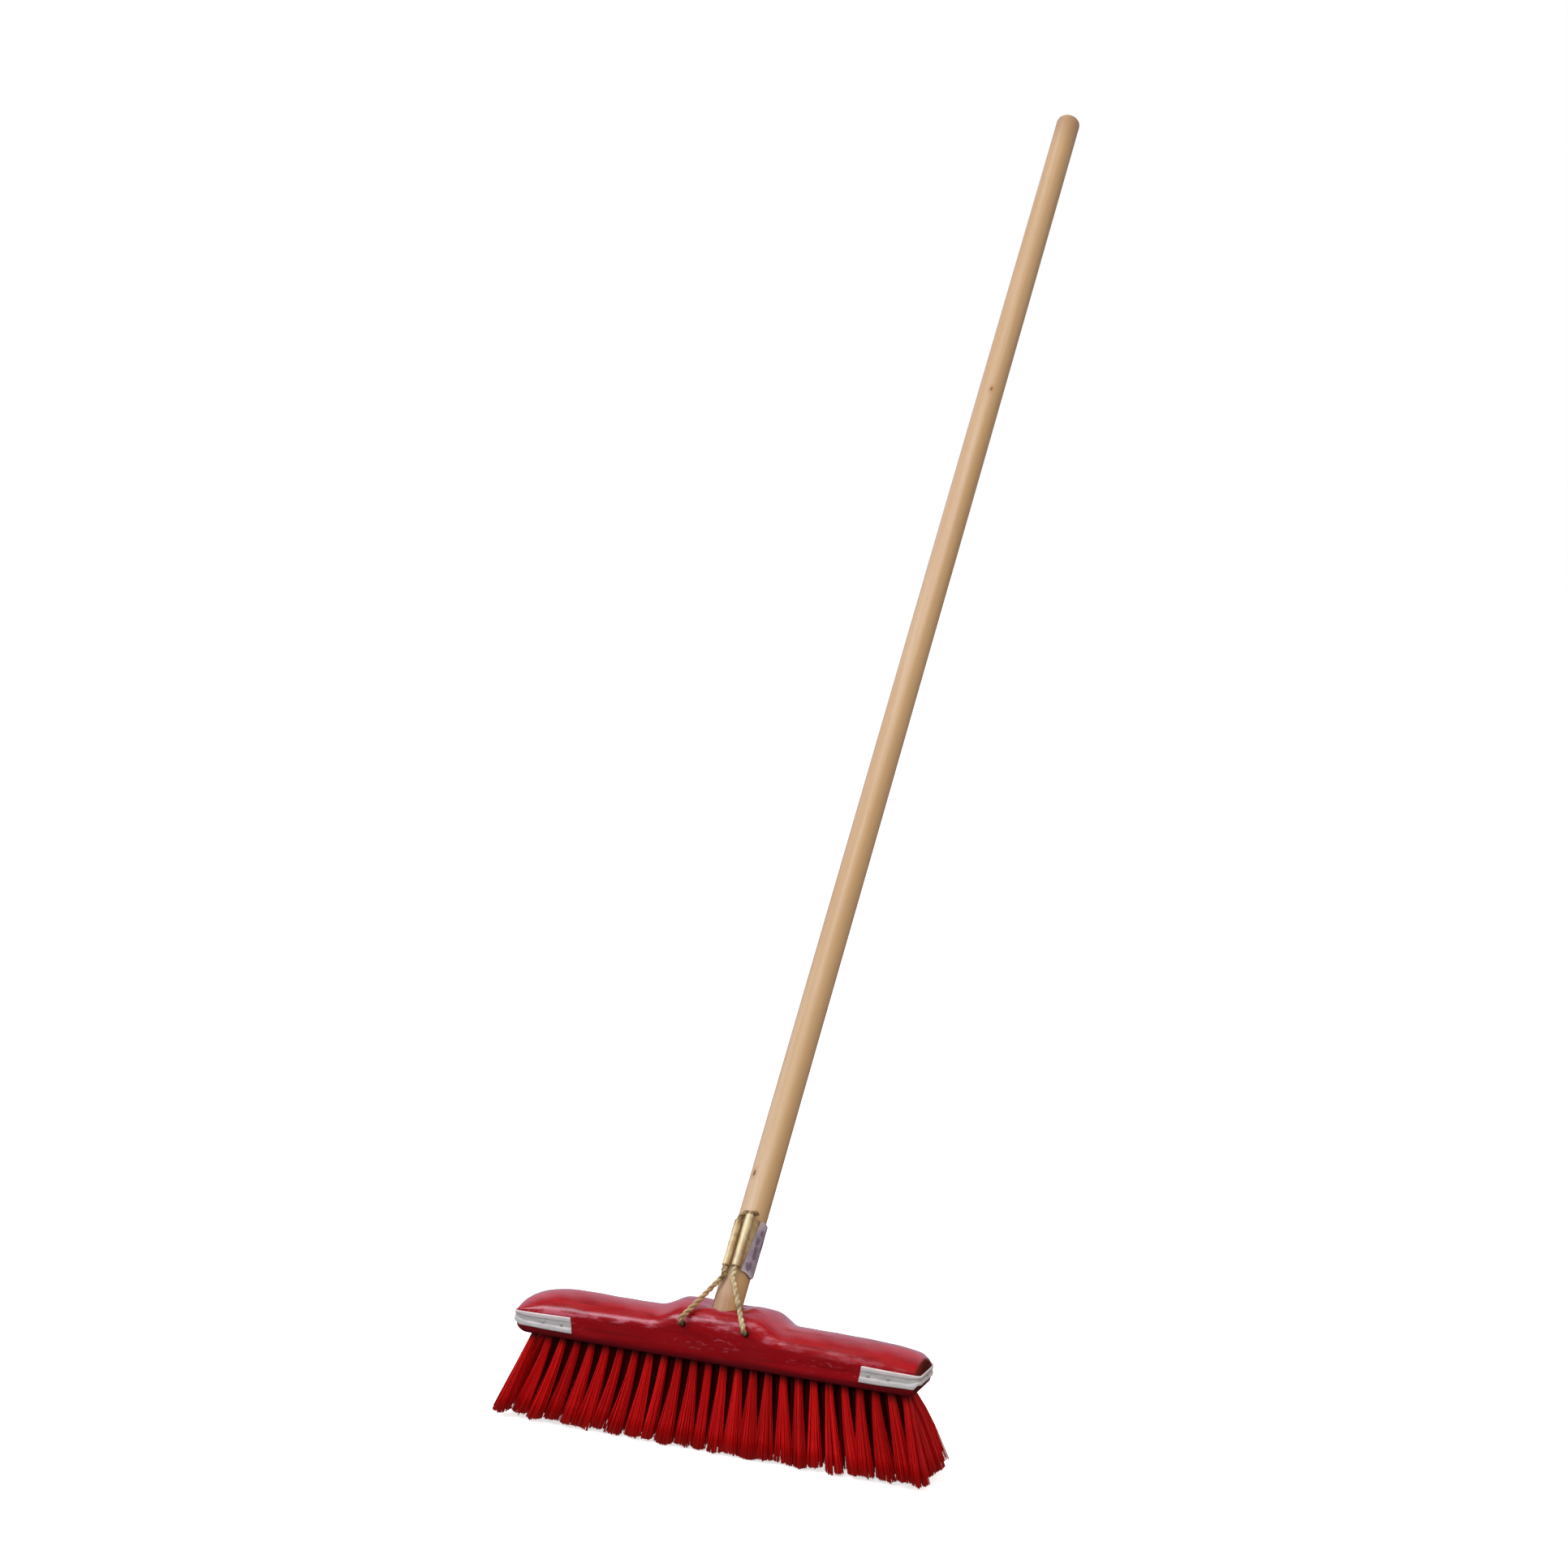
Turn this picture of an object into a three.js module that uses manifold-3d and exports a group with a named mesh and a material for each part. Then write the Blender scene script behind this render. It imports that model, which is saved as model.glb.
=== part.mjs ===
// Push broom: red saddle block with metal end guards, round wooden handle, wire stay
// and five rows of tufts.
// Millimetres, +Z up. X runs along the block, with +X as right. The front, on the stay side,
// is -Y, and the handle leans back towards +Y.
// The bristle tips stand on z = 0 under the middle of the block.
import * as THREE from 'three';
import { mergeVertices } from 'three/addons/utils/BufferGeometryUtils.js';
import Module from 'manifold-3d';

const wasm = await Module();
wasm.setup();
const { Manifold, Mesh } = wasm;

// ---------------------------------------------------------------- shared dimensions
const BLOCK_LENGTH = 402.4;
const BLOCK_DEPTH = 50;
const HALF_LENGTH = BLOCK_LENGTH / 2;
const FRONT_Y = -BLOCK_DEPTH / 2;
const BACK_Y = BLOCK_DEPTH / 2;
const UNDERSIDE_Z = 81;            // underside of the block, also the bristle trim length
const FRONT_CORNER_R = 3;          // corners of the block in plan
const BACK_CORNER_R = 16;

const GAP = 0.3;                   // clearance between neighbouring pieces
const BORE_GAP = GAP + 0.05;       // clearance round pieces that sit in a hole

const HANDLE_R = 14;
const HANDLE_TILT = THREE.MathUtils.degToRad(37.85); // from vertical, towards +Y
const HANDLE_FOOT = vec(2, 3.3, 127.7);              // axis where it leaves the block

const CLIP_FROM = 34;              // along the handle from its foot
const CLIP_TO = 86.5;
const CLIP_WALL = 1.2;
const CLIP_INNER_R = HANDLE_R + GAP;
const CLIP_OUTER_R = CLIP_INNER_R + CLIP_WALL;

const WIRE_R = 2.7;                // twisted pair, outside radius
const WIRE_BORE_R = WIRE_R + BORE_GAP;

// The two wires and their eyes on the clip. Eye angles are in degrees round the handle from
// its front line. Hook rows: along the handle, across it to +X, out from its axis to the front.
const LEFT_STAY = {
  sign: -1,
  eyeRadius: 18.3,                 // of the eye centre, from the handle axis
  eyeAngle: -20.8,
  eyeWall: 0.9,
  eyeTo: 80,                       // the left eye ends lower
  boreExtra: 8,                    // the bore runs past the eye, clear through the clip
  entryTurn: -1,                   // degrees the wire is turned by just below the eye
  hook: [[84.5, -5.6, 17.2], [88.2, -3.1, 17.0], [90.8, -0.9, 13.4], [91.0, -0.6, 8]],
};
const RIGHT_STAY = {
  sign: 1,
  eyeRadius: 18.9,
  eyeAngle: 11.7,
  eyeWall: 1.5,                    // this eye is rolled double, so it is the fatter one
  eyeTo: CLIP_TO,
  boreExtra: 1,
  entryTurn: 0,
  hook: [[90.2, 5.2, 17.2], [91.4, 6.6, 13.4], [91.5, 6.8, 8]],
};
const STAYS = [LEFT_STAY, RIGHT_STAY];

// ---------------------------------------------------------------- number and vector helpers
function vec(x, y, z) {
  return new THREE.Vector3(x, y, z);
}

// Linear interpolation in a list of [x, value], held constant beyond both ends.
function lookUp(points, x) {
  if (x <= points[0][0]) return points[0][1];
  for (let i = 1; i < points.length; i++) {
    const [x0, value0] = points[i - 1];
    const [x1, value1] = points[i];
    if (x <= x1) return value0 + (value1 - value0) * ((x - x0) / (x1 - x0));
  }
  return points[points.length - 1][1];
}

function smooth(from, to, x) {
  const t = Math.min(1, Math.max(0, (x - from) / (to - from)));
  return t * t * (3 - 2 * t);
}

// Ring of points on an ellipse; phase is in steps of the ring.
function ellipse(centre, axisA, radiusA, axisB, radiusB, sides, phase = 0) {
  const ring = [];
  for (let i = 0; i < sides; i++) {
    const angle = ((i + phase) / sides) * Math.PI * 2;
    ring.push(centre.clone()
      .addScaledVector(axisA, Math.cos(angle) * radiusA)
      .addScaledVector(axisB, Math.sin(angle) * radiusB));
  }
  return ring;
}

// ---------------------------------------------------------------- solid helpers
// Triangulates a flat ring in its own plane.
function capFaces(ring) {
  const origin = ring[0];
  const fromOrigin = (point) => point.clone().sub(origin);
  const normal = vec(0, 0, 0);
  for (let i = 1; i + 1 < ring.length; i++) {
    normal.add(fromOrigin(ring[i]).cross(fromOrigin(ring[i + 1])));
  }
  normal.normalize();
  const axisA = fromOrigin(ring[1]).normalize();
  const axisB = normal.clone().cross(axisA);
  const flat = ring.map((point) => {
    const offset = fromOrigin(point);
    return new THREE.Vector2(offset.dot(axisA), offset.dot(axisB));
  });
  return THREE.ShapeUtils.triangulateShape(flat, []);
}

// A closed solid from a stack of rings with the same number of points.
function loft(rings) {
  const count = rings[0].length;
  const indices = [];
  for (let i = 0; i + 1 < rings.length; i++) {
    for (let j = 0; j < count; j++) {
      const a = i * count + j;
      const b = i * count + (j + 1) % count;
      const c = a + count;
      const d = b + count;
      indices.push(a, b, d, a, d, c);
    }
  }
  for (const [a, b, c] of capFaces(rings[0])) indices.push(a, c, b);
  const last = rings.length - 1;
  for (const face of capFaces(rings[last])) indices.push(...face.map((k) => last * count + k));

  const positions = rings.flat().flatMap((point) => point.toArray());
  const geometry = new THREE.BufferGeometry();
  geometry.setAttribute('position', new THREE.Float32BufferAttribute(positions, 3));
  geometry.setIndex(indices);
  return toSolid(geometry);
}

// Welds a geometry into a manifold body that faces outwards.
function toSolid(geometry) {
  const welded = mergeVertices(geometry, 1e-4);
  const position = welded.getAttribute('position');
  const index = welded.index.array;
  const corner = (i) => vec(0, 0, 0).fromBufferAttribute(position, i);
  const faces = [];
  let volume = 0;
  for (let i = 0; i < index.length; i += 3) {
    const [a, b, c] = [index[i], index[i + 1], index[i + 2]];
    if (a === b || b === c || a === c) continue;
    volume += corner(a).dot(corner(b).cross(corner(c)));
    faces.push([a, b, c]);
  }
  const outward = volume < 0 ? faces.map(([a, b, c]) => [a, c, b]) : faces;
  return new Manifold(new Mesh({
    numProp: 3,
    vertProperties: new Float32Array(position.array),
    triVerts: new Uint32Array(outward.flat()),
  }));
}

function toGeometry(body) {
  const mesh = body.getMesh();
  const geometry = new THREE.BufferGeometry();
  geometry.setAttribute('position', new THREE.Float32BufferAttribute(mesh.vertProperties, 3));
  geometry.setIndex(new THREE.Uint32BufferAttribute(mesh.triVerts, 1));
  geometry.computeVertexNormals();
  return geometry;
}

// A round bar along a list of points, with its frame carried along so that it never twists.
function bar(points, radius, sides) {
  let side = null;
  return loft(points.map((point, i) => {
    const before = points[Math.max(0, i - 1)];
    const after = points[Math.min(points.length - 1, i + 1)];
    const tangent = after.clone().sub(before).normalize();
    if (!side) side = Math.abs(tangent.x) < 0.9 ? vec(1, 0, 0) : vec(0, 1, 0);
    side.addScaledVector(tangent, -side.dot(tangent)).normalize();
    const other = tangent.clone().cross(side);
    return ellipse(point, side, radius, other, radius, sides);
  }));
}

// ---------------------------------------------------------------- handle frame
const HANDLE_AXIS = vec(0, Math.sin(HANDLE_TILT), Math.cos(HANDLE_TILT));
const HANDLE_FRONT = vec(0, -Math.cos(HANDLE_TILT), Math.sin(HANDLE_TILT));
const HANDLE_SIDE = vec(1, 0, 0);

// A point along the handle, across it towards +X and out from its axis towards its front.
function handlePoint(along, across, out) {
  return HANDLE_FOOT.clone()
    .addScaledVector(HANDLE_AXIS, along)
    .addScaledVector(HANDLE_SIDE, across)
    .addScaledVector(HANDLE_FRONT, out);
}

// A point along the handle, at a radius and an angle from its front line towards +X.
function onHandle(along, radius, degrees) {
  const angle = degrees * Math.PI / 180;
  return handlePoint(along, Math.sin(angle) * radius, Math.cos(angle) * radius);
}

// A turned body on the handle axis from a list of [along, radius].
function handleTurned(profile, sides) {
  return loft(profile.map(([along, radius]) => {
    const ring = [];
    for (let i = 0; i < sides; i++) ring.push(onHandle(along, radius, (i / sides) * 360));
    return ring;
  }));
}

// ---------------------------------------------------------------- wire stay
const WIRE_SIDES = 10;
const WIRE_STEPS = 52;
const WIRE_HOLE_X = 31.5;
const WIRE_HOLE_Z = 33;            // above the underside
const WIRE_ROOM_EXTRA = 1.2;       // the clearance body is longer than the wire at each end

// Wire leaving the block: share of the hole's x, y from the front face, z above the hole.
const WIRE_FOOT = [[1, 11, 0], [1, 5, 0], [1, 0.5, 0], [0.997, -3.3, 1.6], [0.985, -4.6, 6.2]];
const WIRE_LEG_SHARES = [0.22, 0.45, 0.68, 0.88]; // points between the foot and the entry
const ENTRY_BELOW_CLIP = 10.5;
const ENTRY_INSET = 0.8;           // the entry lies this much nearer to the handle axis

function wirePath({ sign, eyeRadius, eyeAngle, eyeTo, entryTurn, hook }) {
  const foot = WIRE_FOOT.map(([share, y, z]) =>
    vec(sign * WIRE_HOLE_X * share, FRONT_Y + y, UNDERSIDE_Z + WIRE_HOLE_Z + z));
  const entry = onHandle(CLIP_FROM - ENTRY_BELOW_CLIP, eyeRadius - ENTRY_INSET,
    eyeAngle + entryTurn);
  const bend = foot[foot.length - 1];
  const leg = WIRE_LEG_SHARES.map((share) => bend.clone().lerp(entry, share));
  const inEye = [CLIP_FROM - 2, CLIP_FROM + 4, 46, 58, 70, eyeTo - 4, eyeTo + 1.2]
    .map((along) => onHandle(along, eyeRadius, eyeAngle));
  // above its eye each wire bends over and goes straight into the handle
  const hookPoints = hook.map((place) => handlePoint(...place));
  const points = [...foot, ...leg, entry, ...inEye, ...hookPoints];
  return new THREE.CatmullRomCurve3(points, false, 'centripetal').getSpacedPoints(WIRE_STEPS);
}

function wireBody(stay) {
  return bar(wirePath(stay), WIRE_R, WIRE_SIDES);
}

// Clearance body that follows the wire and runs on past both ends.
function wireRoom(stay) {
  const path = wirePath(stay);
  const beyond = (end, inner) => end.clone()
    .addScaledVector(end.clone().sub(inner).normalize(), WIRE_ROOM_EXTRA);
  const first = beyond(path[0], path[1]);
  const last = beyond(path[path.length - 1], path[path.length - 2]);
  return bar([first, ...path, last], WIRE_BORE_R, WIRE_SIDES);
}

const wireRooms = STAYS.map(wireRoom);

// ---------------------------------------------------------------- handle
const HANDLE_UP = 1573;            // free length above the foot
const HANDLE_DOWN = 27;            // length inside the socket
const TIP_R = 10;                  // small end of the coned tip
const TIP_CONE = 20;               // length of the cone
const CONE_TOP = -HANDLE_DOWN + TIP_CONE;
const DOME = 9;                    // height of the domed top
const DOME_STEPS = 6;
const HANDLE_SIDES = 32;
const SOCKET_EXTRA = 0.2;          // further clearance under the tip
const SOCKET_TOP = 60;             // well above the block

function handleBody() {
  const profile = [[-HANDLE_DOWN, TIP_R], [CONE_TOP, HANDLE_R], [HANDLE_UP / 2, HANDLE_R]];
  for (let i = 0; i < DOME_STEPS; i++) {
    const angle = (i / DOME_STEPS) * Math.PI / 2;
    profile.push([HANDLE_UP - DOME + DOME * Math.sin(angle), HANDLE_R * Math.cos(angle)]);
  }
  return wireRooms.reduce((body, room) => body.subtract(room),
    handleTurned(profile, HANDLE_SIDES));
}

function socketRoom() {
  return handleTurned([
    [-HANDLE_DOWN - GAP - SOCKET_EXTRA, TIP_R + GAP],
    [CONE_TOP, HANDLE_R + BORE_GAP],
    [SOCKET_TOP, HANDLE_R + BORE_GAP],
  ], HANDLE_SIDES);
}

// ---------------------------------------------------------------- clip round the handle
const CLIP_SIDES = 48;
const EYE_SIDES = 20;
const SLOT_TIP_R = 2;              // the slot is a wedge, between these radii
const SLOT_MOUTH_R = 26;

function clipTube(radius, extra) {
  return handleTurned([[CLIP_FROM - extra, radius], [CLIP_TO + extra, radius]], CLIP_SIDES);
}

// Rod on the line of an eye, longer than the eye by extra at each end.
function eyeRod({ eyeRadius, eyeAngle, eyeTo }, radius, extra) {
  const ends = [CLIP_FROM - extra, eyeTo + extra];
  return bar(ends.map((along) => onHandle(along, eyeRadius, eyeAngle)), radius, EYE_SIDES);
}

// Wedge between the two eyes, where the clip is open.
function clipSlot() {
  const angles = STAYS.map((stay) => stay.eyeAngle);
  return loft([CLIP_FROM - 1, CLIP_TO + 1].map((along) => [
    onHandle(along, SLOT_TIP_R, (angles[0] + angles[1]) / 2),
    ...angles.map((angle) => onHandle(along, SLOT_MOUTH_R, angle)),
  ]));
}

function clipBody() {
  const inside = clipTube(CLIP_INNER_R, 1);
  let body = clipTube(CLIP_OUTER_R, 0).subtract(inside).subtract(clipSlot());
  for (const stay of STAYS) body = body.add(eyeRod(stay, WIRE_BORE_R + stay.eyeWall, 0));
  body = body.subtract(inside);
  for (const stay of STAYS) body = body.subtract(eyeRod(stay, WIRE_BORE_R, stay.boreExtra));
  return body;
}

// ---------------------------------------------------------------- label
// Blank paper label: a thin curved sheet just outside the right side of the clip.
const LABEL_FROM_ANGLE = 36;       // degrees from the handle's front line
const LABEL_TO_ANGLE = 150;
const LABEL_THICK = 0.3;
const LABEL_STEPS = 14;

function labelBody() {
  const inner = CLIP_OUTER_R + GAP;
  const arc = (along, radius) => {
    const points = [];
    for (let i = 0; i <= LABEL_STEPS; i++) {
      const degrees = LABEL_FROM_ANGLE + (LABEL_TO_ANGLE - LABEL_FROM_ANGLE) * i / LABEL_STEPS;
      points.push(onHandle(along, radius, degrees));
    }
    return points;
  };
  return loft([CLIP_FROM - 1.5, CLIP_TO - 0.5].map((along) =>
    [...arc(along, inner + LABEL_THICK), ...arc(along, inner).reverse()]));
}

// ---------------------------------------------------------------- end guards
// A grooved strip bent round each end of the block.
const GUARD_REACH_X = 144;         // inner ends of the strips
const GUARD_THICK = 1.0;
const GUARD_GROOVE = 0.9;          // the strip is pressed in this deep along its middle
const GUARD_LOW = 7.0;             // above the underside
const GUARD_HIGH = 20.5;
const GUARD_INNER_DROP = 0.7;      // the strip is a little deeper at its inner ends
const GUARD_INNER_RISE = 1.1;
const GUARD_END_RISE = 4.8;        // it is cut narrower round the end of the block

// Section of the strip: offset out from the block, share of the strip's height.
const GUARD_INSIDE = [
  [GUARD_GROOVE, 0.0], [GUARD_GROOVE, 0.24], [0, 0.31],
  [0, 0.67], [GUARD_GROOVE, 0.74], [GUARD_GROOVE, 1.0],
];
const GUARD_SECTION = [
  ...GUARD_INSIDE.map(([offset, share]) => [GUARD_THICK + offset, share]),
  ...GUARD_INSIDE.toReversed(),
];

// Outline of the right end in plan, moved out by offset, from the front round to the back.
function guardOutline(offset) {
  const points = [GUARD_REACH_X, 158, 176, 192].map((x) => [x, FRONT_Y - offset]);
  const addCorner = (cornerR, centreY, startAngle, steps) => {
    const radius = cornerR + offset;
    for (let i = 0; i <= steps; i++) {
      const angle = startAngle + (i / steps) * Math.PI / 2;
      points.push([HALF_LENGTH - cornerR + radius * Math.cos(angle),
        centreY + radius * Math.sin(angle)]);
    }
  };
  addCorner(FRONT_CORNER_R, FRONT_Y + FRONT_CORNER_R, -Math.PI / 2, 4);
  addCorner(BACK_CORNER_R, BACK_Y - BACK_CORNER_R, 0, 7);
  points.push(...[168, GUARD_REACH_X].map((x) => [x, BACK_Y + offset]));
  return points;
}

function guardBody(sign) {
  const outlines = GUARD_SECTION.map(([offset]) => guardOutline(GAP + offset));
  const rings = outlines[0].map((_, i) => GUARD_SECTION.map(([, share], j) => {
    const [x, y] = outlines[j][i];
    const inner = 1 - smooth(GUARD_REACH_X, 196, x);
    const low = GUARD_LOW - GUARD_INNER_DROP * inner + GUARD_END_RISE * smooth(191, 200.5, x);
    const high = GUARD_HIGH + GUARD_INNER_RISE * inner;
    return vec(sign * x, y, UNDERSIDE_Z + low + (high - low) * share);
  }));
  return nails.filter((nail) => nail.sign === sign)
    .reduce((body, nail) => body.subtract(nailRoom(nail)), loft(rings));
}

// ---------------------------------------------------------------- guard nails
const NAIL_SIDES = 10;
const NAIL_HEAD_R = 1.9;
const END_NAIL_HEAD_R = 1.4;       // smaller nail in the narrower strip at each end
const NAIL_SHANK_R = 0.9;
const NAIL_LENGTH = 14;            // below the face of the block
const NAIL_INNER_X = 153;
const NAIL_OUTER_X = 172;
const END_NAIL_Y = -4;
const NAIL_Z = UNDERSIDE_Z + GUARD_LOW + 0.49 * (GUARD_HIGH - GUARD_LOW);

// Each nail: its place on the face of the block, the way its head faces, and its sizes.
function guardNails(sign) {
  const prefix = `guard_nail_${sign < 0 ? 'left' : 'right'}`;
  const list = [];
  for (const [face, y, outY] of [['front', FRONT_Y, -1], ['back', BACK_Y, 1]]) {
    for (const [position, x] of [['inner', NAIL_INNER_X], ['outer', NAIL_OUTER_X]]) {
      list.push({
        name: `${prefix}_${face}_${position}`,
        sign,
        place: vec(sign * x, y, NAIL_Z),
        out: vec(0, outY, 0),
        across: vec(1, 0, 0),
        headR: NAIL_HEAD_R,
      });
    }
  }
  list.push({
    name: `${prefix}_end`,
    sign,
    place: vec(sign * HALF_LENGTH, END_NAIL_Y, NAIL_Z + GUARD_END_RISE * 0.5),
    out: vec(sign, 0, 0),
    across: vec(0, 1, 0),
    headR: END_NAIL_HEAD_R,
  });
  return list;
}

const nails = [-1, 1].flatMap(guardNails);

// Round nail: pointed shank, flat underside, low domed head.
function nailBody({ place, out, across, headR }) {
  const seat = GAP + GUARD_THICK + GAP;
  // distance out from the face of the block, radius
  const profile = [
    [-NAIL_LENGTH, 0.25], [-NAIL_LENGTH + 2.5, NAIL_SHANK_R], [seat, NAIL_SHANK_R],
    [seat, headR], [seat + 0.45, headR * 0.96], [seat + 0.85, headR * 0.62],
    [seat + 0.98, headR * 0.2],
  ];
  return loft(profile.map(([distance, radius]) => {
    const centre = place.clone().addScaledVector(out, distance);
    return ellipse(centre, across, radius, vec(0, 0, 1), radius, NAIL_SIDES);
  }));
}

// Clearance body of a nail, through the guard and into the block.
function nailRoom({ place, out }) {
  const ends = [-NAIL_LENGTH - 0.5, 6].map((distance) =>
    place.clone().addScaledVector(out, distance));
  return bar(ends, NAIL_SHANK_R + BORE_GAP, NAIL_SIDES);
}

// ---------------------------------------------------------------- block
const BOSS_FRONT_Z = 39;           // edge heights of the middle boss above the underside
const BOSS_BACK_Z = 44;
const BOSS_CROWN = 10.5;           // rise of the boss between its edges, at x = 0
const BOSS_CROWN_FALL = 0.0015;    // loss of that rise per x squared
const BOSS_RIGHT_EXTRA = 6;        // the right shoulder is a little fuller than the left one
const RIDGE_ROUND = 2.6;           // rounding of the front top edge
const RIDGE_STEPS = [0, 0.3, 0.6, 1];
const TOP_POINTS = 13;             // points across the top, between its edges
const LOW_CHAMFER = 0.8;
const END_ROUND_X = 9;             // the front lower edge rises at the ends: along and up
const END_ROUND_Z = 10;

// Height of the long top edges away from the boss: x, z above the underside.
const RIDGE = [
  [-201.2, 21.4], [-194, 22.7], [-190, 23.4], [-175, 24.9], [-150, 26], [-127, 26.5],
  [-94, 27.5], [-70, 28.3], [70, 28.3], [90, 27.8], [118, 26.5], [137, 25.6],
  [155, 24.3], [175, 22.9], [194, 22.3], [201.2, 21.6],
];
// Height of the top's middle line away from the boss: x, z above the underside.
const CROWN = [
  [-201.2, 23.6], [-200.6, 25.6], [-199, 27.6], [-196, 29.8], [-190, 32.6], [-185, 34.5],
  [-180, 36.2], [-173, 38.0], [-165, 39.4], [-150, 40.5], [-135, 40.6], [-110, 40.3],
  [-80, 40], [80, 39.2], [110, 39.2], [135, 38.6], [155, 37.8], [170, 36.9],
  [183, 35.6], [190, 34.5], [195, 33.3], [198.5, 31.8], [200.2, 30.0], [201.2, 27.6],
];
// Distances of the block's sections from its middle, used on both sides.
const SECTION_X = [
  201.2, 200.9, 200.2, 199, 197, 194.6, 192.2, 188.5, 184, 176, 168, 158, 146, 130, 112,
  94, 82, 74, 68, 64, 60, 56, 52, 48, 44, 40, 36, 28, 18, 8,
];

// How far a rounded plan corner reaches out from its centre line at x.
function cornerReach(x, radius) {
  const past = Math.max(0, Math.abs(x) - (HALF_LENGTH - radius));
  return Math.sqrt(Math.max(0, radius ** 2 - past * past));
}

// Height of the top above the underside, v = -1 at the front edge and +1 at the back edge.
function topHeight(x, v) {
  const extra = x > 0 ? BOSS_RIGHT_EXTRA : 0;
  const frontShare = 1 - smooth(36, 66, Math.abs(x));
  const crownShare = 1 - smooth(38 + extra, 70 + extra, Math.abs(x));
  const ridge = lookUp(RIDGE, x);
  const front = ridge + (BOSS_FRONT_Z - ridge) * frontShare;
  const back = ridge + (BOSS_BACK_Z - ridge) * crownShare;
  const wingRise = lookUp(CROWN, x) - ridge;
  const bossRise = BOSS_CROWN - BOSS_CROWN_FALL * x * x;
  const rise = wingRise + (bossRise - wingRise) * crownShare;
  return front + (back - front) * (v + 1) / 2 + rise * (1 - v * v);
}

// Height of the front lower edge above the underside.
function endLift(x) {
  const share = Math.max(0, Math.abs(x) - (HALF_LENGTH - END_ROUND_X)) / END_ROUND_X;
  return END_ROUND_Z * (1 - Math.sqrt(Math.max(0, 1 - share * share)));
}

// Section of the block at x, from the front lower edge over the top to the back lower edge.
function blockRing(x) {
  const frontY = FRONT_Y + FRONT_CORNER_R - cornerReach(x, FRONT_CORNER_R);
  const backY = BACK_Y - BACK_CORNER_R + cornerReach(x, BACK_CORNER_R);
  const depth = backY - frontY;
  const lift = endLift(x);
  const front = topHeight(x, -1);
  const back = topHeight(x, 1);
  const outline = [[frontY + LOW_CHAMFER, lift], [frontY, lift + LOW_CHAMFER]];

  // rounded ridge between the front face and the top
  const ridgeDepth = Math.min(RIDGE_ROUND, 0.8 * depth / (TOP_POINTS + 1));
  const ridgeRise = topHeight(x, -1 + 2 * ridgeDepth / depth) - front;
  for (const t of RIDGE_STEPS) {
    outline.push([frontY + t * t * ridgeDepth,
      front - (1 - t) ** 2 * RIDGE_ROUND + t * t * ridgeRise]);
  }
  for (let i = 1; i <= TOP_POINTS; i++) {
    const v = -1 + 2 * i / (TOP_POINTS + 1);
    outline.push([frontY + depth * (v + 1) / 2, topHeight(x, v)]);
  }
  outline.push([backY - 0.4, back - 0.35], [backY, back - 1.3]);
  outline.push([backY, LOW_CHAMFER], [backY - LOW_CHAMFER, 0]);
  return outline.map(([y, z]) => vec(x, y, UNDERSIDE_Z + z));
}

function blockBody() {
  const sections = [...SECTION_X, 0, ...SECTION_X.map((x) => -x)].sort((a, b) => a - b);
  return [socketRoom(), ...wireRooms, ...nails.map(nailRoom)]
    .reduce((body, room) => body.subtract(room), loft(sections.map(blockRing)));
}

// ---------------------------------------------------------------- bristle rows
// Each row is a line of flaring tufts on a thin round root that lies just under the block.
const ROW_TUFTS = [26, 25, 25, 25, 24]; // front to back: fewer where the corners are rounded
const MIDDLE_ROW = 2;
const ROW_PITCH = 9;
const TUFT_PITCH = 14.8;
const MIDDLE_PITCH = 15.2;
const ROW_SHIFT = 2.5;             // all rows but the middle one sit a little to the right
const ROOT_Z = UNDERSIDE_Z - 3.4;
const ROOT_BAR_R = 2.4;
const ROOT_BAR_EXTRA = 2.2;        // past the last tuft centres
const TUFT_ROOT_R = [3.1, 2.3];    // tuft radii along x and y
const TUFT_TIP_R = [6.6, 4.4];
const SPLAY_X = 1.13;              // how far the tips spread compared with the roots
const SPLAY_Y = 1.9;
const SPLAY_END = 1.175;           // SPLAY_X of the last tufts, in rows behind the front one
const END_TUFT_X = 166;            // the last tufts lie beyond this
const END_TUFT_RISE = 1.6;         // extra tip height of the last tufts, per row

// Tip height: uneven from tuft to tuft, rising towards the ends where the rows fan out.
function tipHeight(i, row, x) {
  return 1.1 + 1.1 * Math.sin(i * 2.4 + row * 1.7) + 3.6 * (x / 187.5) ** 2;
}

// Uneven shift of the tips along x.
function tipDrift(i, row) {
  return 1.5 * Math.sin(i * 1.9 + row * 2.3);
}

function tuftRing(x, y, z, [radiusX, radiusY]) {
  return ellipse(vec(x, y, z), vec(1, 0, 0), radiusX, vec(0, 1, 0), radiusY, 6, 0.5);
}

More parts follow.
